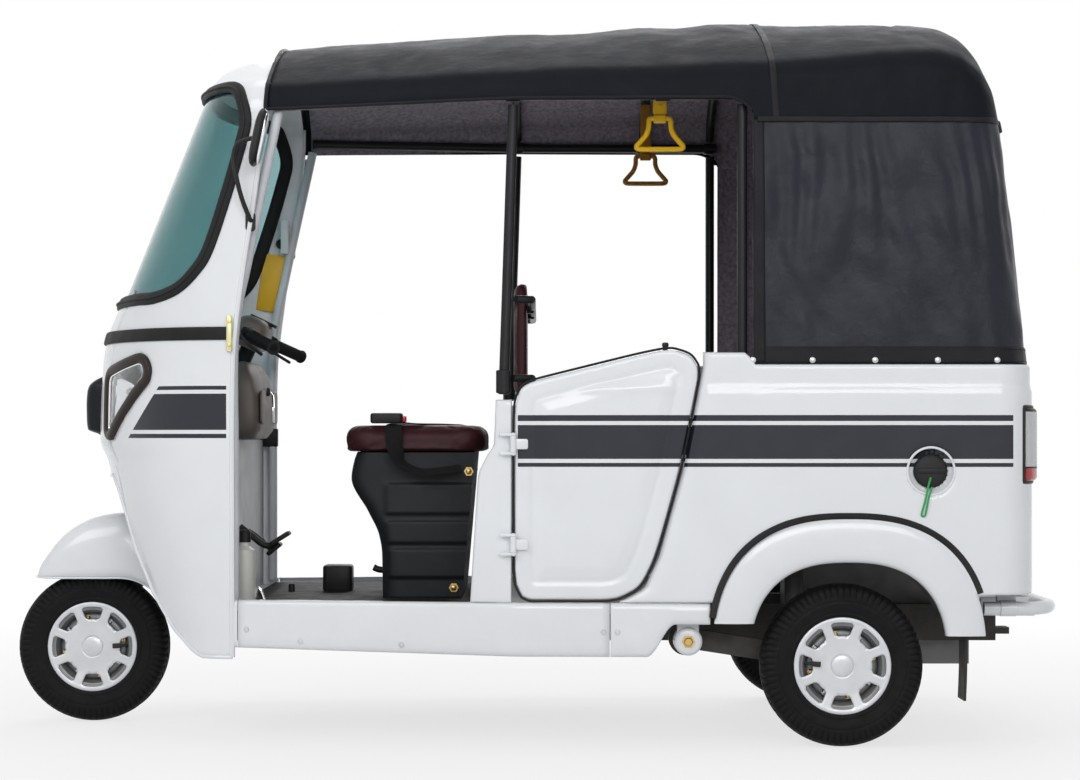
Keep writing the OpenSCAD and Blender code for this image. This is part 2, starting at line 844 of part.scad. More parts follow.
// Bumper tube round the tail on two stays from the frame's last cross member
bumper_z = 346;
bumper_side = 95;
bumper_half = body_half_w - bumper_side;
bumper_corner = 130;
bumper_in = 60;
bumper_sides = 16;
stay_w = 40;
stay_t = 10;
module rear_bumper() {
    right = [[bumper_x - bumper_in - bumper_corner, bumper_half, bumper_z],
        [bumper_x - bumper_corner / 2, bumper_half, bumper_z],
        [bumper_x, bumper_half - bumper_corner, bumper_z], [bumper_x, 0, bumper_z]];
    color("white") both_sides() {
        tube_run(right, bumper_r, bumper_sides);
        span([rail_x1 - stay_w, rail_y + rail_w / 2 + seat, bumper_z - stay_w],
            [bumper_x, rail_y + rail_w / 2 + stay_t, bumper_z + stay_t]);
    }
}

flap_set = 45;
flap_x = arch_x + arch_r + flap_set;
flap_t = 8;
flap_z0 = 117;
module mud_flaps() {
    y0 = track_half - tyre_w / 2;
    y1 = body_half_w - wall_t;
    color("black") both_sides() span([flap_x, y0, flap_z0], [flap_x + flap_t, y1, tail_z0 - seat]);
}

// Mirrors on bent arms from the cowl's rear edge
mirror_share = 0.835;
mirror_foot_z_share = 0.7056;
mirror_z = cowl_z0 + mirror_share * cowl_h;
mirror_h = 150;
mirror_w = 100;
mirror_t = 16;
mirror_y = 590;
mirror_set = 73;
mirror_x = cowl_x + mirror_set;
mirror_tilt = 12;
mirror_arm_r = 6;
mirror_foot_share = 0.113;
mirror_elbow_drop = 25;
mirror_elbow_set = 64;
module mirrors() {
    foot_x = cowl_x + mirror_foot_share * cowl_depth;
    foot = [foot_x, -cowl_half_w - mirror_arm_r, cowl_z0 + mirror_foot_z_share * cowl_h];
    elbow = [mirror_x - mirror_elbow_set, -mirror_y + mirror_w / 4, mirror_z - mirror_elbow_drop];
    color("black") both_sides() union() {
        pipe([foot, elbow, [mirror_x, -mirror_y, mirror_z]], mirror_arm_r);
        translate([mirror_x, -mirror_y, mirror_z]) rotate([0, mirror_tilt, 0]) rotate([0, 90, 0])
            translate([0, 0, -mirror_t / 2]) linear_extrude(mirror_t) union() {
                square([mirror_h, mirror_w - mirror_t * 2], center = true);
                square([mirror_h - mirror_t * 2, mirror_w], center = true);
                for (i = [-1, 1], j = [-1, 1])
                    translate([i * (mirror_h / 2 - mirror_t), j * (mirror_w / 2 - mirror_t)])
                        circle(r = mirror_t);
            }
    }
}

// Driver's seat: stepped base on the floor, cushion, and a pad on the partition bars
seat_set = 276;
seat_x = cowl_x + seat_set;
seat_foot = 100;
seat_rear_foot = 37;
seat_lip = 90;
module driver_seat_base() {
    rear_x = seat_x + driver_len;
    top_z = driver_z - seat;
    color("black") side_block([
        [seat_x + seat_foot, floor_z], [rear_x - seat_rear_foot, floor_z], [rear_x, top_z], [seat_x, top_z],
        [seat_x, driver_z - seat_lip], [seat_x + seat_foot / 2, driver_z - 2 * seat_lip]
    ], -driver_half_w, driver_half_w);
}

cushion_out = 18;
cushion_r = 26;
module pad(a, b, r) {
    size = b - a;
    color("maroon") translate(a) intersection() {
        translate([0, size.y, 0]) rotate([90, 0, 0]) linear_extrude(size.y) union() {
            translate([r, 0]) square([size.x - 2 * r, size.z]);
            square([size.x, size.z - r]);
            for (x = [r, size.x - r]) translate([x, size.z - r]) circle(r = r);
        }
        cube(size);
    }
}

module driver_cushion() {
    half = driver_half_w + cushion_out;
    pad([seat_x - cushion_out, -half, driver_z],
        [seat_x + driver_len + 2 * cushion_out, half, driver_z + cushion_t], cushion_r);
}

partition_set = 42;
partition_x = door_x + partition_set;
partition_z = [930, 1130];
partition_r = 10;
back_pad_t = 38;
back_pad_z0 = 886;
back_pad_h = 309;
back_pad_half = 300;
module driver_backrest() {
    x1 = partition_x - partition_r - seat;
    pad([x1 - back_pad_t, -back_pad_half, back_pad_z0], [x1, back_pad_half, back_pad_z0 + back_pad_h],
        back_pad_t / 3);
}

// Passenger bench: riser and deck, cushion, backrest
deck_t = 12;
riser_t = 16;
module bench_base() {
    x1 = tail_x - wall_t - seat;
    color("gray") side_block([[riser_x, rail_z + seat], [riser_x + riser_t, rail_z + seat],
        [riser_x + riser_t, deck_z], [x1, deck_z], [x1, deck_z + deck_t], [riser_x, deck_z + deck_t]],
        -bench_half_w, bench_half_w);
}

bench_back_t = 105;
module bench_cushion() {
    z = deck_z + deck_t + seat;
    pad([riser_x - cushion_out, -bench_half_w, z],
        [riser_x - cushion_out + bench_len, bench_half_w, z + bench_t], cushion_r);
}

module bench_backrest() {
    z = deck_z + deck_t + seat;
    x = riser_x - cushion_out + bench_len + seat;
    pad([x, -bench_half_w, z], [x + bench_back_t, bench_half_w, z + bench_t + bench_back_h], cushion_r);
}

// Hood sections along the vehicle, columns: length share, half width share, crease share, top share
hood_shares = [
    [0.000, 0.805, 0.185, 0.744],
    [0.172, 0.890, 0.230, 0.859],
    [0.345, 0.972, 0.280, 0.900],
    [0.700, 1.000, 0.370, 1.000],
    [0.898, 1.000, 0.450, 0.978],
    [0.945, 0.995, 0.400, 0.955],
    [0.970, 0.975, 0.280, 0.905],
    [0.988, 0.920, 0.120, 0.840],
    [1.000, 0.800, -0.050, 0.760]
];
hood_set = 90;
hood_inset = 15;
hood_round = 60;
round_shares = [0.985, 0.4];
lean_h = 55;
lean_z = opening_z + lean_h;
front_drop = 15;
curtain_corner = 75;
crease_y_share = 0.955;
hood_half_w = body_half_w - hood_inset;
hood_x0 = cowl_x + hood_set - hood_lean;
hood_len = tail_x - hood_x0;
hood_taper = hood_lean + back_lean;

// The hood's half width, crease and top at x, on its outer face
function hood_at(x, column) = lookup((x - hood_lean - hood_x0) / (hood_len - hood_taper),
    [for (s = hood_shares) [s[0], s[column]]]);
function hood_half(x) = hood_at(x, 1) * hood_half_w;
function hood_roof(x, y) =
    let(c = hood_at(x, 2), t = hood_at(x, 3), u = y / (crease_y_share * hood_half(x)))
    opening_z + hood_h * (t - (t - c) * u * u);

module hood_slice(row, g, x) {
    half = row[1] * hood_half_w + g;
    crease = opening_z + row[2] * hood_h + g;
    top = opening_z + row[3] * hood_h + g;
    side = [[half, waist_z - over + 2 * g], [half, crease - hood_round],
        [round_shares[0] * half, crease - round_shares[1] * hood_round]];
    roof = [for (i = [0 : steps / 2]) let(u = 1 - 2 * i / steps)
        [crease_y_share * half * u, top - (top - crease) * u * u]];
    right = concat(side, roof);
    n = len(right);
    lean_share = (hood_lean - row[0] * hood_taper) / (lean_z - waist_z);
    multmatrix([[1, 0, lean_share, x - lean_share * waist_z], [0, 1, 0, 0], [0, 0, 1, 0], [0, 0, 0, 1]])
        rotate([90, 0, 90]) linear_extrude(slice)
        polygon(concat(right, [for (i = [1 : n - 1]) [-right[n - 1 - i].x, right[n - 1 - i].y]]));
}

module hood_solid(g, front) {
    last = len(hood_shares) - 1;
    function at(i) = hood_x0 + hood_shares[i][0] * hood_len + (i == 0 ? -front : 0) + (i == last ? g : 0);
    for (i = [1 : last]) hull() {
        hood_slice(hood_shares[i - 1], g, at(i - 1));
        hood_slice(hood_shares[i], g, at(i));
    }
}

module hood_cover() {
    curtain_x = crest_x + over;
    corner = [for (i = [0 : steps / 4]) let(a = 360 * i / steps)
        [curtain_x - curtain_corner * (1 - sin(a)), opening_z - curtain_corner * (1 - cos(a))]];
    edge = [[hood_x0 - hood_set, opening_z - front_drop], [door_x, opening_z]];
    rest = [[curtain_x, waist_z + seat], [tail_x + hood_set, waist_z + seat],
        [tail_x + hood_set, roof_z + over], [hood_x0 - hood_set, roof_z + over]];
    color("#26272b") intersection() {
        difference() {
            hood_solid(0, 0);
            hood_solid(-hood_t, over);
        }
        side_block(concat(edge, corner, rest), -reach / 2, reach / 2);
    }
}

// Roof frame: pillars, side rails, posts, hoops under the hood, and the partition bars
rail_in = 8;
roof_rail_lift = 10;
roof_rail_z = opening_z + roof_rail_lift;
pillar_in = 51;
hoop_set = 373;
hoop_pitch = 200;
rear_hoop_set = 239;
hoop_x = [door_x - over, door_x + hoop_set, door_x + hoop_set + hoop_pitch, rear_axle_x + rear_hoop_set];
rear_post_z0 = 700;
hoop_shares = [-0.9, -0.7, -0.35, 0, 0.35, 0.7, 0.9];
// Height of a faceted tube's flat top above its axis, share of its radius
flat_share = cos(180 / tube_sides);
tube_step = 2 * flat_share * tube_r + seat;
function rail_at(x, dz = 0) = [x, hood_half(x) - hood_t - tube_r - rail_in, roof_rail_z + dz];
function left(p) = [p.x, -p.y, p.z];
function hoop_z(x, y) = hood_roof(x, y) - hood_t - tube_r - rail_in;
function hoop(x) = [for (s = hoop_shares) [x, s * hood_half(x), hoop_z(x, s * hood_half(x))]];
function inside_wall(x, z) = [x, plan_half(x) - wall_t - tube_r - seat, z];
function b_foot() = let(x = (post_x + post_lean + door_x - door_gap) / 2)
    [x, plan_half(x) - wall_t / 2, sill_z + post_top_share * door_h + tube_r + seat];
front_rail_x = hood_x0 + hood_lean + 2 * tube_r;

module a_pillars() {
    pillar_y = cowl_half_w - pillar_in;
    color("black") both_sides() tube_run([[cowl_x, pillar_y, floor_z + tube_r + seat],
        [cowl_x, pillar_y, belt_z], [cowl_x + wall_set, pillar_y, belt_z + console_h],
        rail_at(front_rail_x, -tube_step)], tube_r);
}

module roof_rails() {
    color("black") both_sides()
        tube_run([rail_at(front_rail_x), rail_at(hoop_x[0]), rail_at(hoop_x[2])], tube_r);
}

module roof_posts() {
    color("black") both_sides() {
        tube_run([b_foot(), rail_at(hoop_x[0], -tube_step)], tube_r);
        tube_run([inside_wall(hoop_x[2], rear_post_z0), rail_at(hoop_x[2], -tube_step)], tube_r);
        tube_run([inside_wall(hoop_x[3], rear_post_z0), rail_at(hoop_x[3])], tube_r);
    }
}

module roof_hoops() {
    color("black") for (x = hoop_x) {
        end = rail_at(x, tube_step);
        tube_run(concat([left(end)], hoop(x), [end]), tube_r);
    }
}

module partition_bars() {
    b_top = rail_at(hoop_x[0], -tube_step);
    color("black") for (z = partition_z) {
        share = (z - b_foot().z) / (b_top.z - b_foot().z);
        side = b_foot() + share * (b_top - b_foot()) + [tube_r + partition_r + seat, 0, 0];
        bend = [partition_x, side.y - post_w / 2, z];
        tube_run([left(side), left(bend), bend, side], partition_r);
    }
}

// Grab handles: a strap and a loop under the second hoop
strap_share = 0.7;
strap_w = 26;
strap_t = 4;
strap_drop = 1.7;
loop_drop = 55;
loop_h = 51;
loop_z1 = opening_z - loop_drop;
loop_z0 = loop_z1 - loop_h;
loop_half = 60;
loop_r = 7;
module grab_handles() {
    x = hoop_x[1];
    strap_y = strap_share * hood_half(x);
    color("goldenrod") both_sides() union() {
        span([x - strap_w / 2, strap_y - strap_t / 2, loop_z1],
            [x + strap_w / 2, strap_y + strap_t / 2, hoop_z(x, strap_y) - tube_r - strap_drop]);
        pipe([[x, strap_y, loop_z1 + loop_r], [x - loop_half, strap_y, loop_z0],
            [x + loop_half, strap_y, loop_z0], [x, strap_y, loop_z1 + loop_r]], loop_r);
    }
}

// Steering column with a crown below the head and one fork leg beside the wheel
crown_h = 56;
crown_half = 26;
column_top = 12;
leg_w = 50;
fork_stub = 46;
leg_share = 0.5;
leg_inset = 3;
crown_z = -head_drop - head_len - over - crown_h;
module steering_column() {
    crown = [head_x + (crown_z + crown_h / 2) * sin(rake), head_z + (crown_z + crown_h / 2) * cos(rake)];
    run = [front_axle_x - crown.x, axle_z - crown.y];
    boss = crown + leg_share * run;
    y0 = fork_y - fork_t / 2;
    color("black") union() {
        steer_frame() {
            translate([0, 0, crown_z + over]) cylinder(h = -column_top - crown_z - over, r = column_r);
            span([-crown_half, -column_r - over, crown_z],
                [crown_half, fork_y + fork_t / 2, crown_z + crown_h]);
        }
        translate([crown.x, y0 + leg_inset, crown.y]) rotate([0, -atan2(run.y, run.x), 0])
            translate([0, 0, -leg_w / 2]) cube([norm(run), fork_t - 2 * leg_inset, leg_w]);
        cross_bar(front_axle_x, axle_z, y0, y0 + fork_t, leg_w / 2 + over);
        cross_bar(front_axle_x, axle_z, -fork_stub / 2, y0 + fork_t / 2, axle_r);
        cross_bar(boss.x, boss.y, fender_half_w + seat, y0 + fork_t / 2, bar_r);
    }
}

// Handlebar points in the steering frame, shares of its half length: back, out
bar_shares = [[0, 0], [0, 0.40], [0.10, 0.68], [0.39, 1.00]];
bar_z = 25;
grip_share = 0.35;
function bar_points() = [for (s = bar_shares) [s[0] * bar_half, s[1] * bar_half, bar_z]];

module bar_tube(g) {
    steer_frame() both_sides() pipe(bar_points(), bar_r + g);
}

module handlebar() {
    p = bar_points();
    color("black") union() {
        bar_tube(0);
        steer_frame() both_sides() rod(p[2] + grip_share * (p[3] - p[2]), p[3], grip_r);
    }
}

headset_half = 105;
headset_front = 60;
headset_back = 45;
headset_h = 90;
module headset_cover() {
    color("dimgray") difference() {
        steer_frame() translate([0, headset_half, seat - column_top]) rotate([90, 0, 0])
            linear_extrude(2 * headset_half) polygon([[-headset_front, 0], [headset_back, 0],
                [headset_back, headset_h / 2], [0, headset_h], [-headset_front, headset_h * 2 / 3]]);
        bar_tube(seat);
    }
}

// Front mudguard in the side view, columns: share of the tyre's radius behind and above the axle
fender_top_shares = [
    [-0.748, 0.966], [-0.655, 1.165], [-0.388, 1.495], [-0.058, 1.694], [0.272, 1.772], [0.471, 1.762],
    [0.728, 1.650], [0.898, 1.360], [0.956, 0.970], [0.932, 0.743]
];
fender_low_shares = [[0.801, 0.859], [0.539, 0.985], [0.291, 1.090], [0, 1.130], [-0.340, 1.110]];
fender_open_shares = [[0.932, -0.2], [-0.748, -0.2]];
function on_tyre(shares) = [for (s = shares) [front_axle_x + s[0] * tyre_r, axle_z + s[1] * tyre_r]];

module front_fender() {
    inner = fender_half_w - fender_t;
    color("white") difference() {
        side_block(on_tyre(concat(fender_top_shares, fender_low_shares)), -fender_half_w, fender_half_w);
        translate([0, inner, 0]) rotate([90, 0, 0]) linear_extrude(2 * inner) offset(delta = -fender_t)
            polygon(on_tyre(concat(fender_top_shares, fender_open_shares)));
    }
}

// Wheels, axis along Z and the outer face up; section points are radius, place along the axis
hub_back = 40;
disc_z = 8;
cap_r = 36;
cap_h = 10;
slot_r = 68;
slot_len = 34;
slot_w = 15;
crown_share = 0.86;
wall_share = 0.55;
tyre_shares = [0.86, 0.94, 0.76, 0.38];
module rim() {
    bore = axle_r + play;
    flange_r = bead_r + flange_h;
    barrel_r = bead_r - flange_t;
    difference() {
        rotate_extrude() polygon([
            [bore, -hub_back], [hub_r, -hub_back], [hub_r, disc_z], [barrel_r, disc_z],
            [barrel_r, -rim_half_w], [flange_r, -rim_half_w], [flange_r, flange_t - rim_half_w],
            [bead_r, flange_t - rim_half_w],
            [bead_r, rim_half_w - flange_t], [flange_r, rim_half_w - flange_t], [flange_r, rim_half_w],
            [barrel_r, rim_half_w], [barrel_r - flange_t, disc_z + 2 * flange_t],
            [cap_r + flange_t, disc_z + 3 * flange_t], [cap_r, disc_z + 3 * flange_t + cap_h / 2],
            [cap_r / 2, disc_z + 3 * flange_t + cap_h], [0, disc_z + 3 * flange_t + cap_h],
            [0, stub_len + play], [bore, stub_len + play]
        ]);
        for (i = [1 : slot_count]) rotate([0, 0, 360 * i / slot_count]) translate([slot_r, 0, 0])
            linear_extrude(rim_half_w + over) union() {
                square([slot_w, slot_len - slot_w], center = true);
                for (s = [-1, 1]) translate([0, s * (slot_len - slot_w) / 2]) circle(r = slot_w / 2);
            }
    }
}

module tyre() {
    half = tyre_w / 2;
    bead = rim_half_w - flange_t - seat;
    low = bead_r + seat;
    high = bead_r + flange_h + seat;
    mid_r = low + wall_share * (tyre_r - low);
    edge_r = low + crown_share * (tyre_r - low);
    side = [[low, bead], [high, bead], [high + flange_t, half * tyre_shares[0]], [mid_r, half],
        [edge_r, half * tyre_shares[1]], [tyre_r - flange_t, half * tyre_shares[2]],
        [tyre_r, half * tyre_shares[3]]];
    n = len(side);
    rotate_extrude() polygon(concat(side, [for (i = [0 : n - 1]) [side[n - 1 - i].x, -side[n - 1 - i].y]]));
}

module at_front_wheel() {
    translate([front_axle_x, 0, axle_z]) rotate([90, 0, 0]) children();
}

module at_left_wheel() {
    translate([rear_axle_x, -track_half, axle_z]) rotate([90, 0, 0]) children();
}

module at_right_wheel() {
    mirror([0, 1, 0]) at_left_wheel() children();
}

module front_rim() { color("silver") at_front_wheel() rim(); }
module front_tyre() { color("#1d1d1f") at_front_wheel() tyre(); }
module rear_left_rim() { color("silver") at_left_wheel() rim(); }
module rear_left_tyre() { color("#1d1d1f") at_left_wheel() tyre(); }
module rear_right_rim() { color("silver") at_right_wheel() rim(); }
module rear_right_tyre() { color("#1d1d1f") at_right_wheel() tyre(); }

chassis_frame();
steering_post();
tow_tongue();
floor_pan();
engine_block();
exhaust();
trailing_arms();
half_shafts();
rear_shocks();
front_cowl();
windscreen_glass();
cowl_rubbers();
lamp_surrounds();
lamp_lenses();
nose_cover();
dash_console();
rocker_panels();
b_posts();
a_pillars();
roof_rails();
roof_posts();
roof_hoops();
partition_bars();
hood_cover();
side_panels();
arch_flares();
fuel_filler();
rear_panel();
tail_lamps();
rear_bumper();
mud_flaps();
mirrors();
grab_handles();
driver_seat_base();
driver_cushion();
driver_backrest();
bench_base();
bench_cushion();
bench_backrest();
steering_column();
handlebar();
headset_cover();
front_fender();
front_rim();
front_tyre();
rear_left_rim();
rear_left_tyre();
rear_right_rim();
rear_right_tyre();
door_left();
door_right();
engine_lid();
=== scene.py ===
"""Looks of a three-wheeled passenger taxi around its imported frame; make() turns millimetres to metres."""
import math

import bmesh
import bpy
import numpy as np
from mathutils import Matrix, Vector, noise


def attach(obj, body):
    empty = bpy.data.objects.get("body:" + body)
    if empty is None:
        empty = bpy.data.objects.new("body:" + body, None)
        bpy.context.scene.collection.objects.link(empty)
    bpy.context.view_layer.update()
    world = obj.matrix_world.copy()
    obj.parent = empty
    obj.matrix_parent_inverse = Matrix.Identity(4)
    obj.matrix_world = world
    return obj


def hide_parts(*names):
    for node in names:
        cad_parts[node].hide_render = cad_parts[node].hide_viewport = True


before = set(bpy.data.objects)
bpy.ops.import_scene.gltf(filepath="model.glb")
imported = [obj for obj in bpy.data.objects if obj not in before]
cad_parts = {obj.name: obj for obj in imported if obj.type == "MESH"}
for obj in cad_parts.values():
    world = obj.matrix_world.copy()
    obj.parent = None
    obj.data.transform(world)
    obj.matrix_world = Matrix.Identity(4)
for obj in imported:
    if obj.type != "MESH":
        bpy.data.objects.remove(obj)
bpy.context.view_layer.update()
MM = 0.001
SAME_POINT = 2e-6


# Shapes: points and faces gathered for one piece


class Form:
    """Points, faces and each face's material number."""

    def __init__(self):
        self.points, self.faces, self.marks = [], [], []

    def add(self, shape, mark=0, at=None, twin=False):
        points, faces = shape
        points = np.asarray(points, float).reshape(-1, 3)
        if at is not None:
            at = np.array(at)
            points = points @ at[:3, :3].T + at[:3, 3]
        base = len(self.points)
        self.points.extend(map(tuple, points))
        self.faces.extend([tuple(i + base for i in f) for f in faces])
        self.marks.extend([mark] * len(faces))
        if twin:
            mirrored = points * (1, -1, 1)
            self.add((mirrored, [f[::-1] for f in faces]), mark)
        return self


def place(x=0, y=0, z=0, rx=0, ry=0, rz=0):
    turn = Matrix.Rotation(math.radians(rz), 4, "Z") @ Matrix.Rotation(math.radians(ry), 4, "Y")
    return Matrix.Translation((x, y, z)) @ turn @ Matrix.Rotation(math.radians(rx), 4, "X")


def hermite(xs, ys):
    """Smooth curve through the points that never overshoots them."""
    xs, ys = np.asarray(xs, float), np.asarray(ys, float)
    step = np.diff(xs)
    rise = np.diff(ys) / step
    slope = np.zeros(len(xs))
    slope[0], slope[-1] = rise[0], rise[-1]
    for i in range(1, len(xs) - 1):
        if rise[i - 1] * rise[i] > 0:
            a, b = 2 * step[i] + step[i - 1], step[i] + 2 * step[i - 1]
            slope[i] = (a + b) / (a / rise[i - 1] + b / rise[i])

    def at(x):
        x = np.clip(x, xs[0], xs[-1])
        i = np.clip(np.searchsorted(xs, x, side="right") - 1, 0, len(step) - 1)
        t = (x - xs[i]) / step[i]
        value = (2 * t**3 - 3 * t**2 + 1) * ys[i] + (3 * t**2 - 2 * t**3) * ys[i + 1]
        return value + step[i] * ((t**3 - 2 * t**2 + t) * slope[i] + (t**3 - t**2) * slope[i + 1])

    return at


def through(points, per=8, closed=False):
    """Smooth path through the points."""
    p = [np.asarray(q, float) for q in points]
    ends = (p[-1:], p[:2]) if closed else ([2 * p[0] - p[1]], [2 * p[-1] - p[-2]])
    q = ends[0] + p + ends[1]
    path = []
    for i in range(1, len(q) - 2):
        for t in np.arange(per) / per:
            a, b, c, d = q[i - 1 : i + 3]
            path.append(b + 0.5 * t * (c - a + t * (2 * a - 5 * b + 4 * c - d + t * (3 * (b - c) + d - a))))
    return np.array(path if closed else path + [p[-1]])


def grid(rows, close_u=False, close_v=False, keep=None):
    """Faces over a table of points; keep(centre) says which of them stay."""
    rows = np.asarray(rows, float)
    n, m = rows.shape[:2]
    faces = []
    for i in range(n - (not close_u)):
        for j in range(m - (not close_v)):
            a, b = (i + 1) % n, (j + 1) % m
            quad = (i * m + j, a * m + j, a * m + b, i * m + b)
            if keep is None or keep((rows[i, j] + rows[a, j] + rows[a, b] + rows[i, b]) / 4):
                faces.append(quad)
    return rows.reshape(-1, 3), faces


def frames(path, closed=False, up=(0, 0, 1)):
    """Two directions across the path at each point, the second near to up."""
    path = np.asarray(path, float)
    ahead = np.roll(path, -1, 0) - np.roll(path, 1, 0)
    if not closed:
        ahead[0], ahead[-1] = path[1] - path[0], path[-1] - path[-2]
    ahead /= np.linalg.norm(ahead, axis=1)[:, None] + 1e-12
    side = np.cross(ahead, np.asarray(up, float))
    weak = np.linalg.norm(side, axis=1) < 1e-3
    side[weak] = np.cross(ahead[weak], (1, 0.2, 0))
    side /= np.linalg.norm(side, axis=1)[:, None]
    for i in range(1, len(side)):
        if side[i] @ side[i - 1] < 0:
            side[i] = -side[i]
    return side, np.cross(side, ahead)


def sweep(path, section, closed=False, up=(0, 0, 1)):
    """Section of (across, up) points carried along the path, with ends capped."""
    path = np.asarray(path, float)
    side, rise = frames(path, closed, up)
    rows = [[p + a * s + b * r for a, b in section] for p, s, r in zip(path, side, rise)]
    points, faces = grid(rows, closed, True)
    if not closed:
        m = len(section)
        faces += [tuple(range(m))[::-1], tuple(range(len(points) - m, len(points)))]
    return points, faces


def ring(r, n=12, rz=None, power=1.0):
    turn = [2 * math.pi * i / n for i in range(n)]
    bend = lambda v: math.copysign(abs(v) ** power, v)
    return [(r * bend(math.cos(a)), (rz or r) * bend(math.sin(a))) for a in turn]


def tube(points, r, n=12, per=6, closed=False, up=(0, 0, 1)):
    path = through(points, per, closed) if per > 1 else points
    return sweep(path, ring(r, n), closed, up)


def lathe(profile, n=48):
    """Profile of (radius, height) points turned about Z."""
    angles = [2 * math.pi * i / n for i in range(n)]
    return grid([[(r * math.cos(a), r * math.sin(a), h) for r, h in profile] for a in angles], True)


def inset(outline, d):
    """Closed outline moved inwards by d along its normals; it runs anticlockwise."""
    p = np.asarray(outline, float)
    ahead = np.roll(p, -1, 0) - np.roll(p, 1, 0)
    ahead /= np.linalg.norm(ahead, axis=1)[:, None] + 1e-12
    return p + d * np.stack([-ahead[:, 1], ahead[:, 0]], 1)


def plate(outline, h0, h1, edge=2.0, steps=3):
    """Outline in XY carried from h0 to h1, with rounded upper and lower edges."""
    rows = []
    arc = [math.pi / 2 * i / steps for i in range(steps + 1)]
    for a in arc:
        q = inset(outline, edge * (1 - math.sin(a)))
        rows.append([(x, y, h0 + edge * (1 - math.cos(a))) for x, y in q])
    for a in arc[::-1]:
        q = inset(outline, edge * (1 - math.sin(a)))
        rows.append([(x, y, h1 - edge * (1 - math.cos(a))) for x, y in q])
    n = len(outline)
    points, faces = grid(rows, False, True)
    faces += [tuple(range(n))[::-1], tuple(range(len(points) - n, len(points)))]
    return points, faces


def slab(a, b, edge=3.0, steps=2):
    """Box between two corners with rounded upright and level edges."""
    (x0, y0, z0), (x1, y1, z1) = a, b
    r = min(edge * 1.5, (x1 - x0) / 2.01, (y1 - y0) / 2.01)
    outline = []
    corners = ((x1 - r, y0 + r, -90), (x1 - r, y1 - r, 0), (x0 + r, y1 - r, 90), (x0 + r, y0 + r, 180))
    for cx, cy, s in corners:
        for i in range(4):
            t = math.radians(s + 30 * i)
            outline.append((cx + r * math.cos(t), cy + r * math.sin(t)))
    return plate(outline, z0, z1, min(edge, (z1 - z0) / 2.01), steps)


def rounded(w, h, r, n=5):
    """Rectangle outline centred on the origin with rounded corners."""
    out = []
    for sx, sy, s in ((1, -1, -90), (1, 1, 0), (-1, 1, 90), (-1, -1, 180)):
        for i in range(n):
            t = math.radians(s + 90 * i / (n - 1))
            out.append((sx * (w / 2 - r) + r * math.cos(t), sy * (h / 2 - r) + r * math.sin(t)))
    return out


def evenly(outline, count, closed=True):
    """Points at even distances along an outline or an open path."""
    p = np.asarray(outline, float)
    if closed:
        p = np.vstack([p, p[:1]])
    along = np.concatenate([[0], np.cumsum(np.linalg.norm(np.diff(p, axis=0), axis=1))])
    t = np.linspace(0, along[-1], count, endpoint=not closed)
    return np.stack([np.interp(t, along, p[:, k]) for k in range(p.shape[1])], 1)


def evenly_open(points, count):
    return evenly(points, count, False)


def soft_step(t):
    """0 up to t = 0, 1 from t = 1, and smooth between."""
    t = np.clip(t, 0.0, 1.0)
    return float(t * t * (3 - 2 * t))


def quarter(t):
    """Height of a quarter circle that rises from 0 at t = 0 to 1 at t = 1."""
    return math.sqrt(max(0.0, 1 - (1 - min(1.0, t)) ** 2))


def inside(outline):
    """Test of a point against a closed outline of pairs."""
    q = np.asarray(outline, float)

    def test(x, y):
        odd = False
        for (x0, y0), (x1, y1) in zip(q, np.roll(q, -1, 0)):
            if (y0 > y) != (y1 > y) and x < (x1 - x0) * (y - y0) / (y1 - y0) + x0:
                odd = not odd
        return odd

    return test


def link_object(name, data):
    obj = bpy.data.objects.new(name, data)
    bpy.context.collection.objects.link(obj)
    return obj


def make(name, form, body, materials, replaces=(), angle=35, thick=0, offset=-1):
    """One piece from a form, riding on a body; angle is where its edges turn sharp."""
    mesh = bpy.data.meshes.new(name)
    mesh.from_pydata((np.array(form.points) * MM).tolist(), [], form.faces)
    mesh.polygons.foreach_set("material_index", form.marks)
    bm = bmesh.new()
    bm.from_mesh(mesh)
    bmesh.ops.remove_doubles(bm, verts=bm.verts, dist=SAME_POINT)
    bmesh.ops.recalc_face_normals(bm, faces=bm.faces)
    bm.to_mesh(mesh)
    bm.free()
    for m in materials if isinstance(materials, (list, tuple)) else [materials]:
        mesh.materials.append(m)
    mesh.shade_smooth()
    mesh.set_sharp_from_angle(angle=math.radians(angle))
    obj = link_object(name, mesh)
    if thick:
        m = obj.modifiers.new("thick", "SOLIDIFY")
        m.thickness, m.offset = thick * MM, offset
    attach(obj, body)
    if replaces:
        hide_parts(*replaces)
    return obj


# Materials: colours are linear, scales are per metre


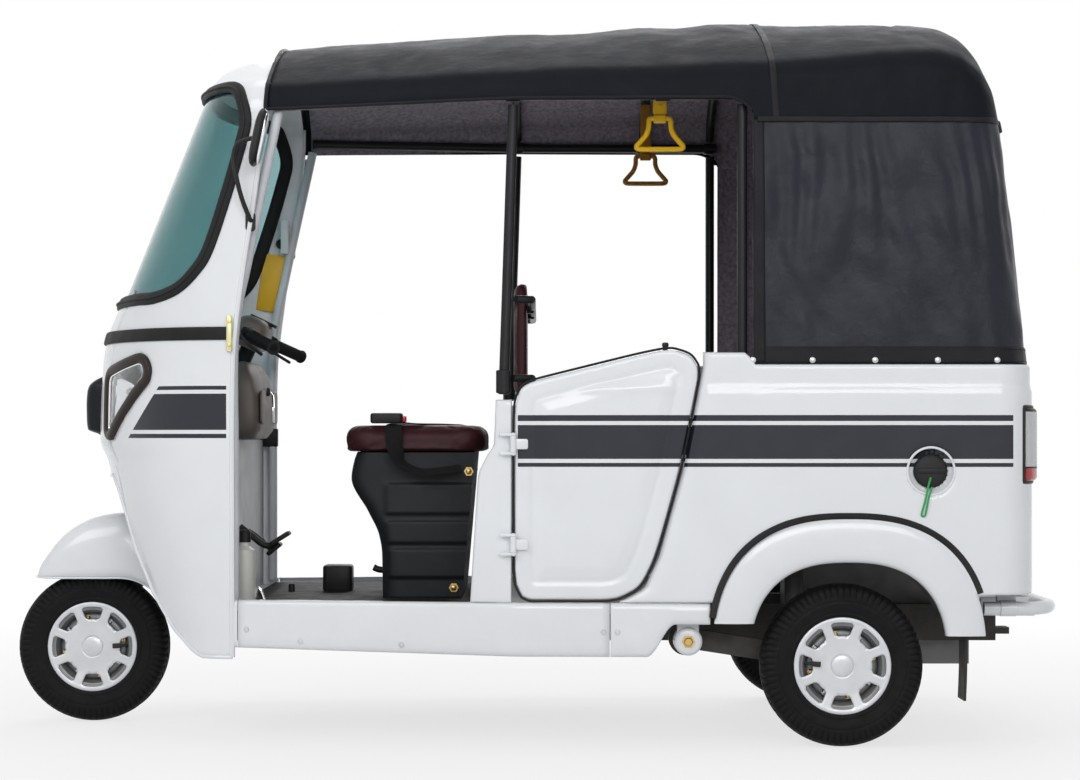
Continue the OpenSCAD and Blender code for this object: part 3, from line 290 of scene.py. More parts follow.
class Nodes:
    """Short hand for building one material's nodes."""

    def __init__(self, name):
        self.material = bpy.data.materials.new(name)
        self.material.use_nodes = True
        self.tree = self.material.node_tree
        self.shader = self.tree.nodes["Principled BSDF"]
        self.object = self.new("TexCoord").outputs["Object"]

    def new(self, kind, **values):
        node = self.tree.nodes.new("ShaderNode" + kind)
        for key, value in values.items():
            setattr(node, key, value)
        return node

    def link(self, source, target):
        if isinstance(source, (int, float)):
            target.default_value = source
        else:
            self.tree.links.new(source, target)

    def math(self, operation, a, b=0.0):
        node = self.new("Math", operation=operation)
        self.link(a, node.inputs[0])
        self.link(b, node.inputs[1])
        return node.outputs[0]

    def texture(self, kind, output, scale, settings=(), **values):
        node = self.new(kind, **values)
        for key, number in (("Scale", scale), *settings):
            node.inputs[key].default_value = number
        self.link(self.object, node.inputs["Vector"])
        return node.outputs[output]

    def noise(self, scale, detail=4.0):
        return self.texture("TexNoise", "Fac", scale, (("Detail", detail), ("Roughness", 0.55)))

    def cells(self, scale):
        return self.texture("TexVoronoi", "Distance", scale)

    def waves(self, scale, direction):
        return self.texture("TexWave", "Fac", scale, bands_direction=direction)

    def ranged(self, value, low, high, start=0.3, end=0.7):
        node = self.new("MapRange")
        self.link(value, node.inputs["Value"])
        for key, number in (("From Min", start), ("From Max", end), ("To Min", low), ("To Max", high)):
            node.inputs[key].default_value = number
        return node.outputs[0]

    def mix(self, factor, a, b):
        node = self.new("Mix", data_type="RGBA")
        self.link(factor, node.inputs["Factor"])
        for value, key in ((a, "A"), (b, "B")):
            socket = [s for s in node.inputs if s.name == key and s.type == "RGBA"][0]
            if isinstance(value, tuple):
                socket.default_value = (*value, 1)
            else:
                self.link(value, socket)
        return [s for s in node.outputs if s.type == "RGBA"][0]

    def bump(self, height, distance, normal=None):
        node = self.new("Bump")
        node.inputs["Distance"].default_value = distance
        self.link(height, node.inputs["Height"])
        if normal is not None:
            self.link(normal, node.inputs["Normal"])
        return node.outputs[0]

    def axes(self):
        node = self.new("SeparateXYZ")
        self.link(self.object, node.inputs[0])
        return node.outputs

    def between(self, value, low, upper, high):
        """1 where the value is over low and the upper value is under high."""
        over, under = self.math("GREATER_THAN", value, low), self.math("LESS_THAN", upper, high)
        return self.math("MULTIPLY", over, under)


DUST, DUST_TOP = (0.30, 0.27, 0.23), 0.55


def finish(name, color, rough=0.5, tint=0.10, tint_scale=6.0, spread=0.08, grains=(), dust=0.0, paint=None,
           **sockets):
    """Material with tinted colour, uneven gloss, grain and dust low down."""
    n = Nodes(name)
    low = tuple(c * (1 - tint) for c in color)
    high = tuple(min(1.0, c * (1 + tint)) for c in color)
    base = n.mix(n.ranged(n.noise(tint_scale), 0, 1), low, high)
    if paint:
        base = paint(n, base)
    if dust:
        height = n.ranged(n.axes()[2], 1, 0, 0.0, DUST_TOP)
        amount = n.math("MULTIPLY", n.math("MULTIPLY", height, n.noise(22, 8)), dust)
        base = n.mix(amount, base, DUST)
    n.link(base, n.shader.inputs["Base Color"])
    gloss = n.ranged(n.noise(tint_scale * 3, 6), rough - spread, rough + spread)
    n.link(gloss, n.shader.inputs["Roughness"])
    normal = None
    for kind, scale, distance in grains:
        height = {"noise": n.noise, "cells": n.cells}.get(kind)
        height = height(scale) if height else n.waves(scale, kind)
        normal = n.bump(height, distance, normal)
    if normal is not None:
        n.link(normal, n.shader.inputs["Normal"])
    for key, value in sockets.items():
        n.shader.inputs[key.replace("_", " ")].default_value = value
    return n.material


STRIPE = (0.011, 0.014, 0.023)


def stripes(bands, x0, x1, slant=0.0):
    """Bands between two heights; their front ends lean forward downwards by the slant."""

    def paint(n, base):
        x, _, z = n.axes()
        mask = 0.0
        for low, high in bands:
            mask = n.math("ADD", n.between(z, low, z, high), mask)
        lead = n.math("SUBTRACT", x, n.math("MULTIPLY", z, slant))
        ends = n.between(lead, x0, x, x1)
        return n.mix(n.math("MULTIPLY", mask, ends), base, STRIPE)

    return paint


# Grain is a list of kind, scale and height in metres; a kind X or Z means ribs along that axis
WHITE = (0.80, 0.82, 0.85)
SIDE_BANDS = [(0.707, 0.717), (0.727, 0.812), (0.822, 0.837)]
COWL_BANDS = [(0.779, 0.790), (0.800, 0.893), (0.903, 0.913)]
PAINT = dict(rough=0.22, tint=0.02, spread=0.05, grains=[("noise", 9.0, 0.0012), ("noise", 420.0, 0.00003)],
             Coat_Weight=0.35, Coat_Roughness=0.05, Specular_IOR_Level=0.3)
DULL = dict(Specular_IOR_Level=0.18)
VINYL = [("noise", 9, 0.0040), ("noise", 34, 0.0010), ("cells", 900, 0.00016)]
FINE, SMOOTH, MOULDED = [("noise", 300, 0.00006)], [("noise", 700, 0.00005)], [("noise", 260, 0.0001)]
GLOSSY, WEAVE, RIBS = [("noise", 200, 0.0001)], [("Z", 260, 0.0004)], [("X", 160, 0.0008)]

white = finish("white_paint", WHITE, dust=0.22, **PAINT)
side_stripes, cowl_stripes = stripes(SIDE_BANDS, -0.006, 1.236), stripes(COWL_BANDS, -1.565, -0.753, 0.69)
white_body = finish("white_body_stripes", WHITE, dust=0.12, paint=side_stripes, **PAINT)
white_cowl = finish("white_cowl_stripes", WHITE, dust=0.12, paint=cowl_stripes, **PAINT)
inner_white = finish("pillar_white", (0.70, 0.72, 0.76), 0.4, grains=FINE)
inner_grey = finish("inner_grey_paint", (0.46, 0.47, 0.49), 0.42, grains=FINE, dust=0.2)
# Roof and curtain are one vinyl in two copies: the roof's is darker, painted shade for the dark reflection
# on its top, and the curtain's is lighter and bluer, painted sheen.
roof_vinyl_painted_shade = finish("roof_vinyl_painted_shade", (0.008, 0.009, 0.013), 0.5, 0.15, 5.0, 0.06, VINYL,
                    Specular_IOR_Level=0.07)
curtain_vinyl_painted_sheen = finish("hood_vinyl", (0.016, 0.017, 0.026), 0.38, 0.15, 5.0, 0.06, VINYL, Specular_IOR_Level=0.2)
vinyl_edge = finish("hood_binding", (0.008, 0.008, 0.011), 0.5, grains=[("cells", 1400, 0.0002)], **DULL)
# The lining's purple-grey is its own tone, raised well above it: painted light on the hood's shaded
# underside and the curtain's inside.
liner_painted_light = finish("hood_liner_painted_light", (0.27, 0.235, 0.28), 0.75, 0.35, 90, 0.05,
               [("cells", 85, 0.0022), ("noise", 500, 0.0003)])
rubber = finish("black_rubber", (0.014, 0.014, 0.015), 0.58, 0.2, grains=[("noise", 700, 0.00015)],
                dust=0.25, **DULL)
tyre_rubber = finish("tyre_rubber", (0.005, 0.005, 0.006), 0.6, 0.25, 14, 0.1, [("noise", 500, 0.0003)],
                     dust=0.02, Specular_IOR_Level=0.12)
mat = finish("floor_mat", (0.012, 0.012, 0.012), 0.6, 0.2, grains=[("noise", 500, 0.0002)], dust=0.05,
             **DULL)
plastic = finish("black_plastic", (0.022, 0.021, 0.021), 0.42, 0.15, grains=[("cells", 1500, 0.00015)],
                 **DULL)
lamp_plastic = finish("lamp_plastic", (0.030, 0.023, 0.020), 0.33, 0.2, grains=MOULDED, **DULL)
snout_black = finish("snout_black", (0.007, 0.008, 0.010), 0.4, 0.2, grains=MOULDED, **DULL)
console = finish("console_plastic", (0.150, 0.125, 0.110), 0.5, 0.08, grains=[("cells", 1100, 0.0003)])
tube_black = finish("tube_black", (0.018, 0.018, 0.020), 0.35, 0.15, grains=[("noise", 340, 0.0001)], **DULL)
steel_black = finish("chassis_black", (0.024, 0.024, 0.026), 0.5, 0.2, grains=[("noise", 180, 0.0003)],
                     dust=0.55, **DULL)
cast = finish("cast_metal", (0.16, 0.16, 0.165), 0.6, 0.2, grains=[("noise", 400, 0.0006)], dust=0.3,
              Metallic=0.6)
steel = finish("bright_steel", (0.55, 0.55, 0.56), 0.3, 0.1, grains=[("noise", 600, 0.00005)], Metallic=1.0)
brass = finish("brass_bolt", (0.60, 0.42, 0.16), 0.35, 0.15, grains=[("noise", 500, 0.0001)], Metallic=1.0)
zinc = finish("zinc_plate", (0.72, 0.70, 0.40), 0.35, 0.08, grains=[("noise", 300, 0.0001)], Metallic=0.3)
silver = finish("wheel_silver", (0.70, 0.71, 0.74), 0.34, 0.06, 20, 0.06, SMOOTH, dust=0.2, Metallic=0.25)
rim_grey = finish("rim_grey", (0.20, 0.205, 0.215), 0.42, 0.1, 20, 0.06, SMOOTH, dust=0.3, Metallic=0.4)
chrome = finish("reflector", (0.86, 0.87, 0.88), 0.08, 0.03, spread=0.03, grains=[("noise", 60, 0.0003)],
                Metallic=1.0)
maroon = finish("maroon_vinyl", (0.040, 0.011, 0.014), 0.42, 0.18, 9, 0.08,
                [("noise", 60, 0.0008), ("cells", 800, 0.0003)], **DULL)
seat_black = finish("seat_black", (0.016, 0.017, 0.019), 0.44, 0.15,
                    grains=[("noise", 20, 0.0006), ("cells", 900, 0.0002)], **DULL)
webbing = finish("belt_webbing", (0.022, 0.022, 0.024), 0.7, 0.2,
                 grains=[("X", 420, 0.0004), ("Z", 420, 0.0004)], **DULL)
yellow = finish("strap_yellow", (0.96, 0.56, 0.01), 0.45, 0.1, grains=WEAVE)
amber = finish("strap_amber", (0.58, 0.26, 0.03), 0.45, 0.1, grains=WEAVE)
label = finish("blank_label", (0.95, 0.52, 0.02), 0.4, 0.04, grains=[("noise", 90, 0.0003)])
red = finish("red_plastic", (0.50, 0.012, 0.010), 0.3, 0.08, grains=GLOSSY, Coat_Weight=0.4)
green = finish("tie_green", (0.02, 0.30, 0.08), 0.5, 0.1, grains=GLOSSY)
bottle_white = finish("reservoir_white", (0.72, 0.72, 0.68), 0.4, 0.05, grains=[("noise", 120, 0.0002)])
glass = finish("screen_glass", (0.27, 0.455, 0.465), 0.03, 0.02, spread=0.01, grains=[("noise", 4, 0.0004)],
               Transmission_Weight=0.92, IOR=1.15)
clear = finish("clear_lens", (0.90, 0.92, 0.93), 0.04, 0.02, spread=0.01, grains=[("noise", 8, 0.0003)],
               Transmission_Weight=0.95, IOR=1.45)
lamp_clear = finish("tail_clear", (0.80, 0.81, 0.83), 0.10, 0.03, spread=0.02, grains=RIBS,
                    Transmission_Weight=0.3)
red_lens = finish("red_lens", (0.60, 0.02, 0.015), 0.12, 0.06, grains=RIBS, Transmission_Weight=0.35,
                  Coat_Weight=0.5)
mirror_glass = finish("mirror_glass", (0.80, 0.82, 0.84), 0.03, 0.02, spread=0.01,
                      grains=[("noise", 3, 0.0002)], Metallic=1.0)


# Cowl: shares of height, nose depth, half width and rear edge, from the foot to the crown


COWL_X, COWL_DEPTH, COWL_HALF, COWL_Z0, COWL_H = -738.0, 417.0, 525.0, 218.0, 1583.0
COWL = np.array([
    [0.000, 0.630, 0.975, 0.000], [0.159, 0.794, 0.978, 0.000], [0.246, 0.894, 0.980, 0.000],
    [0.316, 0.947, 0.983, 0.000], [0.351, 1.000, 0.986, 0.000], [0.481, 0.981, 0.992, 0.007],
    [0.517, 0.959, 0.996, 0.017], [0.613, 0.808, 1.000, 0.062], [0.769, 0.564, 1.000, 0.151],
    [0.890, 0.373, 0.985, 0.206], [0.930, 0.309, 0.930, 0.214], [0.950, 0.278, 0.800, 0.217],
    [0.972, 0.218, 0.640, 0.221], [0.988, 0.098, 0.500, 0.224], [1.000, -0.120, 0.360, 0.226],
    [1.011, -0.170, 0.180, 0.228]])
SCREEN = [
    (0.043, 0.911), (0.082, 0.870), (0.043, 0.822), (-0.048, 0.740), (-0.153, 0.660), (-0.233, 0.627),
    (-0.357, 0.598), (-0.511, 0.585), (-1.250, 0.582), (-1.250, 0.944), (-0.053, 0.930), (0.007, 0.925)]
WELL = [
    (-0.850, 0.290), (-0.775, 0.251), (-0.679, 0.167), (-0.552, 0.100), (-0.393, 0.042), (-0.235, 0.004),
    (-0.100, -0.010)]
WELL_TOP, WELL_STEP = 680.0, 2.0
BROW_Z, EDGE_TOP, CROWN = 1700, 1690, (-655.0, 0, 1819)
SCREEN_SAG, SCREEN_RISE, ANGLE_MM = 5, 12, 500
BELT_Z = 1047
WIPER_BLADE = ((22, 1178, 12), (36, 1222, 12), (48, 1275, 12), (60, 1335, 12))
WIPER_ARM = ((30, 1112, 2), (32, 1140, 16), (36, 1190, 22), (40, 1238, 15))
nose_at, half_at, rear_at = (hermite(COWL[:, 0], COWL[:, k]) for k in (1, 2, 3))


def on_cowl(shares):
    return [(COWL_X + a * COWL_DEPTH, COWL_Z0 + b * COWL_H) for a, b in shares]


def cowl_section(z, g=0.0):
    """Rear edge, depth and half width at a height, grown by g."""
    s = (z - g - COWL_Z0) / COWL_H
    rear = COWL_X + rear_at(s) * COWL_DEPTH
    return rear, rear - COWL_X + nose_at(s) * COWL_DEPTH + g, half_at(s) * COWL_HALF + g


def cowl_point(angle, z, g=0.0):
    rear, deep, half = cowl_section(z, g)
    return np.array((rear - deep * math.cos(angle), half * math.sin(angle), z))


def cowl_angle(x, z):
    """Angle on the left side where the cowl reaches x."""
    rear, deep, _ = cowl_section(z)
    return -math.acos(min(1.0, max(-1.0, (rear - x) / deep)))


def cowl_normal(angle, z, d=0.01, dz=4):
    a = cowl_point(angle + d, z) - cowl_point(angle - d, z)
    b = cowl_point(angle, z + dz) - cowl_point(angle, z - dz)
    n = np.cross(a, b)
    n /= np.linalg.norm(n)
    return n if n @ (cowl_point(angle, z) - np.array((COWL_X, 0, z))) > 0 else -n


screen_outline = on_cowl(SCREEN)
in_screen = inside(screen_outline)
well_edge = np.array(on_cowl(WELL))[::-1]


# Headlamps: an outline round three circles, seen along the lamp's axis


LAMP_TURN = math.radians(37)
LAMP_AT = np.array((-1040.0, -350.0, 888.0))
LAMP_AXIS = np.array((-math.cos(LAMP_TURN), -math.sin(LAMP_TURN), 0.0))
LAMP_ACROSS = np.array((math.sin(LAMP_TURN), -math.cos(LAMP_TURN), 0.0))
LAMP_HALF, LAMP_REACH = 112.0, 60
LAMP_CIRCLES = [(0.70, 0.57, 0.41), (-0.58, 0.30, 0.42), (-0.70, -0.72, 0.29)]
LENS_BULGE, BOWL_DEPTH = 12, 55


def hull_of(points):
    """Outline round a set of points in the plane."""
    points = sorted(set(map(tuple, np.round(points, 4))))
    chains = []
    for order in (points, points[::-1]):
        chain = []
        for p in order:
            while len(chain) > 1:
                if np.cross(np.subtract(chain[-1], chain[-2]), np.subtract(p, chain[-1])) > 0:
                    break
                chain.pop()
            chain.append(p)
        chains.append(chain[:-1])
    return np.array(chains[0] + chains[1])


lamp_circles = [(LAMP_HALF * (x + r * math.cos(t)), LAMP_HALF * (y + r * math.sin(t)))
                for x, y, r in LAMP_CIRCLES for t in np.linspace(0, 2 * math.pi, 48)]
lamp_outline = evenly(hull_of(lamp_circles), 72)
lamp_middle = lamp_outline.mean(0)
in_lamp = inside(inset(lamp_outline, 8))


def lamp_point(u, v, out=0.0):
    """Point on the left lamp's outline plane, carried along its axis to the cowl."""
    p = LAMP_AT + u * LAMP_ACROSS + np.array((0, 0, v))
    rear, deep, half = cowl_section(p[2])
    k = np.array(((p[0] - rear) / deep, p[1] / half))
    d = np.array((LAMP_AXIS[0] / deep, LAMP_AXIS[1] / half))
    a, b, c = d @ d, 2 * k @ d, k @ k - 1
    t = (-b + math.sqrt(max(0.0, b * b - 4 * a * c))) / (2 * a)
    return p + (t + out) * LAMP_AXIS


def cowl_stays(c):
    """Whether a face at c is outside the windscreen's and the lamps' openings."""
    if in_screen(c[0], c[2]):
        return False
    p = np.array((c[0], -abs(c[1]), c[2])) - LAMP_AT
    return not (p @ LAMP_AXIS > -LAMP_REACH and in_lamp(p @ LAMP_ACROSS, p[2]))


def well_foot(angle):
    """Lowest height of the cowl at an angle: the sill end or the edge of the wheel's opening."""
    for z in np.arange(WELL_TOP, COWL_Z0, -WELL_STEP):
        edge = np.interp(z, well_edge[:, 1], well_edge[:, 0])
        if z < WELL_TOP - WELL_STEP and cowl_point(angle, z)[0] < edge:
            return z + WELL_STEP
    return COWL_Z0


def build_cowl():
    angles = np.radians(np.linspace(-90, 90, 141))
    brow = np.linspace(BROW_Z + 6, COWL_Z0 + COWL[-1, 0] * COWL_H, 24)
    rows = []
    for a in angles:
        face = np.linspace(well_foot(a), BROW_Z, 120)
        rows.append([cowl_point(a, z) for z in (*face, *brow)] + [CROWN])
    form = Form().add(grid(rows, keep=cowl_stays))
    make("cowl_shell", form, "chassis", white_cowl, ["front_cowl"], thick=12, angle=50)
    lip = Form()
    lip.add(tube(evenly_open([cowl_point(a, well_foot(a)) for a in angles], 90), 5, 8, 1))
    for side in (-1, 1):
        rear = [cowl_point(side * math.pi / 2, z) for z in np.linspace(COWL_Z0, EDGE_TOP, 60)]
        lip.add(tube(rear, 7, 8, 1, up=(1, 0, 0)))
    make("cowl_edges", lip, "chassis", white)


def screen_path():
    """Windscreen's edge as (angle, height) pairs, all the way round."""
    side = [(cowl_angle(x, z), z) for x, z in screen_outline[:8]]
    top = [(cowl_angle(x, z), z) for x, z in screen_outline[10:]]
    foot, head = side[-1], top[0]
    bottom = [(foot[0] * s, foot[1] - SCREEN_SAG * (1 - s)) for s in (0.8, 0.6, 0.4, 0.2)]
    roof = [(head[0] * s, head[1] + SCREEN_RISE * (1 - s)) for s in (0.2, 0.4, 0.6, 0.8)]
    half = roof + top + side + bottom
    other = [(-a, z) for a, z in half[::-1]]
    whole = [(0.0, head[1] + SCREEN_RISE)] + half + [(0.0, foot[1] - SCREEN_SAG)] + other
    return through([(a * ANGLE_MM, z, 0) for a, z in whole], 5, True)[:, :2] / (ANGLE_MM, 1)


def build_screen():
    angles, heights = np.radians(np.linspace(-90, 90, 75)), np.linspace(1120, 1725, 56)
    rows = [[cowl_point(a, z, -4) for z in heights] for a in angles]
    pane = Form().add(grid(rows, keep=lambda c: in_screen(c[0], c[2])))
    make("windscreen", pane, "chassis", glass, ["windscreen_glass"], thick=5)
    edge = screen_path()
    normals = np.array([cowl_normal(a, z) for a, z in edge])
    seal = Form()
    for out, section in ((1, ring(17, 14, 8, 0.8)), (-13, ring(19, 14, 6, 0.8)), (8, ring(3.2, 8))):
        seal.add(sweep([cowl_point(a, z, out) for a, z in edge], section, True, normals))
    angles = np.radians(np.linspace(-87, 87, 110))
    belt = [cowl_point(a, BELT_Z, 2) for a in angles]
    normals = np.array([cowl_normal(a, BELT_Z) for a in angles])
    seal.add(sweep(belt, ring(17, 16, 5, 0.6), False, normals))
    make("screen_seal", seal, "chassis", rubber, ["cowl_rubbers"])


def build_wiper():
    blade, arm = ([cowl_point(math.radians(d), z, g) for d, z, g in way] for way in (WIPER_BLADE, WIPER_ARM))
    wiper = Form()
    wiper.add(tube(blade, 5, 8, 6))
    wiper.add(tube([p + (0, 0, -9) for p in blade], 3, 6, 6))
    wiper.add(tube(arm, 4.5, 8, 6))
    pivot = lathe([(0, -6), (13, -6), (13, 14), (10, 20), (0, 20)], 20)
    wiper.add(pivot, 0, place(*arm[0], ry=-75, rz=-28))
    make("wiper", wiper, "chassis", plastic)


def build_lamps():
    rim, lens, bowl = Form(), Form(), Form()
    for depth, section, mark in ((11, ring(14, 14, 10, 0.8), 0), (25, ring(3, 8), 1)):
        path = [lamp_point(u, v, 4) for u, v in inset(lamp_outline, depth)]
        rim.add(sweep(path, section, True, LAMP_AXIS), mark, twin=True)
    front, deep = [], []
    for s in np.concatenate([np.linspace(1, 0.08, 22), [0.0]]):
        loop = lamp_middle + s * (inset(lamp_outline, 12) - lamp_middle)
        front.append([lamp_point(u, v, 1 + LENS_BULGE * (1 - s * s)) for u, v in loop])
        deep.append([lamp_point(u, v, -4 - BOWL_DEPTH * (1 - s * s)) for u, v in loop])
    lens.add(grid(front, False, True), twin=True)
    bowl.add(grid(deep, False, True), twin=True)
    bulb = lathe([(0, 0), (9, 0), (9, 16), (12, 24), (12, 34), (8, 42), (0, 45)], 20)
    back = lamp_point(*lamp_middle, -3 - BOWL_DEPTH)
    bowl.add(bulb, 1, place(*back, ry=-90, rz=math.degrees(LAMP_TURN)), twin=True)
    make("lamp_rims", rim, "chassis", [lamp_plastic, chrome], ["lamp_surrounds"])
    make("lamp_glass", lens, "chassis", clear, ["lamp_lenses"], thick=3)
    make("lamp_bowls", bowl, "chassis", [chrome, bottle_white])


SNOUT_X, SNOUT_DEPTH, SNOUT_HALF, SNOUT_Z0, SNOUT_Z1 = -1128, 72, 56, 777, 955
SNOUT = np.array([
    (777, 0.10), (783, 0.42), (790, 0.54), (796, 0.78), (802, 0.94), (830, 0.99), (870, 1.0), (905, 0.97),
    (922, 0.90), (938, 0.66), (949, 0.34), (955, 0.08)])


def build_snout():
    """Smooth cover with a sloped top and a lip below its front face."""
    depth_at = hermite(SNOUT[:, 0], SNOUT[:, 1])
    turns = np.radians(np.linspace(-89.9, 89.9, 33))
    rows = []
    for z in [SNOUT_Z0, *np.linspace(SNOUT_Z0, SNOUT_Z1, 60), SNOUT_Z1]:
        share = max(0.0, float(depth_at(z))) if SNOUT_Z0 < z < SNOUT_Z1 else 0.0
        deep, half = SNOUT_DEPTH * share, SNOUT_HALF * (0.45 + 0.55 * share)
        row = []
        for t in turns:
            y = half * math.copysign(abs(math.sin(t)) ** 0.6, t)
            row.append((SNOUT_X - deep * math.cos(t) ** 0.55, y, z))
        rows.append(row)
    form = Form().add(grid(rows))
    make("snout", form, "chassis", snout_black, ["nose_cover"], thick=3, angle=30)


build_cowl()
build_screen()
build_wiper()
build_lamps()
build_snout()


# Hood: shares of length, half width, crease height and top height, from front to rear


HOOD_X0, HOOD_LEN, HOOD_HALF, EDGE_Z, HOOD_H, WAIST_Z = -682.0, 1975.0, 640.0, 1636.0, 270.0, 965.0
LEAN, TAPER, LEAN_H = 34.0, 114.0, 726.0
HOOD = np.array([
    [0.000, 0.805, 0.185, 0.744], [0.172, 0.890, 0.230, 0.859], [0.345, 0.972, 0.280, 0.900],
    [0.700, 1.000, 0.370, 1.000], [0.898, 1.000, 0.450, 0.978], [0.945, 0.995, 0.400, 0.955],
    [0.970, 0.975, 0.280, 0.905], [0.988, 0.920, 0.120, 0.840], [1.000, 0.800, -0.050, 0.760]])
HOOPS = (-18.0, 360.0, 560.0, 1050.0)
CURTAIN_X, SEAM_Z, CREASE_Y = 585.0, 1580.0, 0.955
HEM_BEND, SKIRT, SAG, SHOULDER_Z = 75, 60, 7, 1690
CURTAIN_STEPS, FOLD_PITCH, GATHER, LOW_FOLD, UPRIGHT_LEN = 330, 74, 8.0, 2.6, 420
REAR_SEAM_X, SNAP_UP = 625, 10
SNAP = [(0, 3.4), (4, 3.2), (7.5, 1.6), (8, 0), (8, -2)]
SIDE_SNAPS, BACK_SNAPS = (584, 736, 894, 1050, 1201), (-420, -210, 0, 210, 420)
hood_half, hood_crease, hood_top = (hermite(HOOD[:, 0], HOOD[:, k]) for k in (1, 2, 3))


def lean(x, y, z):
    """Point leaned back at the front and forward at the rear; x is where it stands at the waist."""
    return np.array((x + (LEAN - TAPER * (x - HOOD_X0) / HOOD_LEN) * (z - WAIST_Z) / LEAN_H, y, z))


def hood_share(x):
    return (x - LEAN - HOOD_X0) / (HOOD_LEN - TAPER)


def hood_width(x):
    return float(np.interp(hood_share(x), HOOD[:, 0], HOOD[:, 1])) * HOOD_HALF


def roof_height(x, y):
    s = hood_share(x)
    c, t = (np.interp(s, HOOD[:, 0], HOOD[:, k]) for k in (2, 3))
    return EDGE_Z + HOOD_H * (t - (t - c) * (y / (CREASE_Y * hood_width(x))) ** 2)


def sag(x):
    """How far the cloth dips between hoops, 0 to 1."""
    stops = (HOOD_X0 + 45,) + HOOPS + (1150.0,)
    for a, b in zip(stops, stops[1:]):
        if a <= x <= b:
            return math.sin(math.pi * (x - a) / (b - a)) ** 2
    return 0.0


def rumple(p, scale, size):
    return size * noise.noise(Vector((p[0] / scale, p[1] / scale, p[2] / scale)))


def hem_height(x):
    """Height of the roof's hem: level, and bent down to the seam before the curtain."""
    if x > CURTAIN_X:
        return SEAM_Z
    drop = np.interp(x, [-640, -13], [15, 0])
    bend = max(0.0, x - (CURTAIN_X - HEM_BEND)) / HEM_BEND
    return EDGE_Z - drop - HEM_BEND * (1 - math.sqrt(max(0.0, 1 - bend * bend))) * 0.75


def hood_section(s, g=0.0, hem_up=0.0):
    """Points over the roof from the left hem to the right one."""
    x = HOOD_X0 + s * HOOD_LEN
    half = hood_half(s) * HOOD_HALF + g
    crease = EDGE_Z + hood_crease(s) * HOOD_H + g
    top = EDGE_Z + hood_top(s) * HOOD_H + g
    hem = min(hem_height(lean(x, 0, EDGE_Z)[0]) + hem_up, crease - SKIRT - 4)
    right = [(half, z) for z in np.linspace(hem, crease - SKIRT, 12)]
    right += [(half * (1 - 0.015 * t * t), crease - SKIRT + 36 * t) for t in (0.35, 0.7, 1.0)]
    right += [(half * (0.985 - 0.012 * t), crease - 24 + 14 * t) for t in (0.5, 1.0)]
    for u in np.linspace(1, 0, 26):
        dip = SAG * sag(x) * (1 - u * u) * (s < 0.9)
        right.append((CREASE_Y * half * u, top - (top - crease) * u * u - dip))
    line = [(-y, z) for y, z in right] + right[-2::-1]
    return [lean(x, y, z) for y, z in line]


def roof_rows(g=0.0, s0=0.0, s1=1.0, count=104, hem_up=0.0, back=True, crumple=1.0):
    """Rows across the roof, close at the hem's bend and the rear, then down the back to the seam."""
    steps = np.concatenate([
        np.linspace(s0, 0.60, count * 2 // 3)[:-1], np.linspace(0.60, 0.68, 44),
        np.linspace(0.68, 0.9, count // 3)[1:-1], np.linspace(0.9, s1, 40)])
    rows = [hood_section(s, g, hem_up) for s in steps]
    if back:
        last, x = rows[-1], HOOD_X0 + s1 * HOOD_LEN
        for k in np.linspace(0, 1, 9)[1:]:
            rows.append([lean(x, p[1], p[2] + k * (min(SEAM_Z, p[2]) - p[2])) for p in last])
    return [[rumpled_roof(p, crumple) for p in row] for row in rows]


def rumpled_roof(p, crumple):
    d = rumple(p, 150, 3.0 * crumple) + rumple((p[0] * 2.2, p[1], p[2] * 0.6), 60, 1.3 * crumple)
    sideways = math.copysign(1, p[1]) if p[2] < SHOULDER_Z else 0
    return np.asarray(p) + d * np.array((0, sideways, 1 if p[2] > SHOULDER_Z else 0.2))


def curtain_path():
    """Curtain's plan at the waist, from its left front edge round the back to the right one."""
    s0 = (CURTAIN_X - HOOD_X0) / HOOD_LEN
    shares = np.concatenate([np.linspace(s0, 0.9, 60)[:-1], np.linspace(0.9, 1.0, 30)])
    half = [(HOOD_X0 + s * HOOD_LEN, -hood_half(s) * HOOD_HALF, 0) for s in shares]
    half += [(HOOD_X0 + HOOD_LEN, y, 0) for y in np.linspace(-490, 0, 24)]
    return evenly_open(half + [(x, -y, 0) for x, y, _ in half[-2::-1]], CURTAIN_STEPS)


def curtain_rows(z0, z1, count, out=0.0, first=0, last=None, folds=1.0):
    """Rows along the curtain's path, with gathers under the seam, soft folds low down and creases."""
    path = curtain_path()
    side, _ = frames(path)
    along = np.concatenate([[0], np.cumsum(np.linalg.norm(np.diff(path, axis=0), axis=1))])
    rows = []
    for i in range(len(path))[first:last]:
        row = []
        for z in np.linspace(z0, z1, count):
            up = (z - WAIST_Z) / (SEAM_Z - WAIST_Z)
            q = along[i] / FOLD_PITCH + 1.6 * noise.noise(Vector((along[i] / 210, 0, z / 700)))
            gather = GATHER * math.sin(2 * math.pi * q) * max(0, up - 0.35) ** 1.2 * (1.05 - up) * 4.2
            low = LOW_FOLD * math.sin(2 * math.pi * q * 0.5 + 1) * max(0, 0.4 - up) * 2 * min(1, up * 9)
            p = lean(path[i][0], path[i][1], z)
            upright = max(0.0, 1 - (path[i][0] - CURTAIN_X) / UPRIGHT_LEN)
            p[0] += upright * (CURTAIN_X - lean(CURTAIN_X, 0, z)[0])
            crease = rumple((p[0] + 0.5 * p[2], p[1], p[2] * 0.45), 46, 4.5) + rumple(p, 150, 5.0)
            free = min(1.0, max(0.0, (1.02 - up) * 7))
            fold = gather * 0.8 + low * 1.4 + crease * min(1, up * 6) * free
            row.append(p + (out + folds * fold - 3.0 * (1 - free)) * side[i])
        rows.append(row)
    return rows


def stitches(form, path, normals, mark, pitch=9.0):
    """Short threads along a path, a little proud of the cloth."""
    length = np.linalg.norm(np.diff(path, axis=0), axis=1).sum()
    path = evenly_open(path, max(2, int(length / pitch) * 2))
    for a, b in zip(path[0::2], path[1::2]):
        form.add(sweep([a, (a + b) / 2, b], ring(0.9, 4), False, normals), mark)


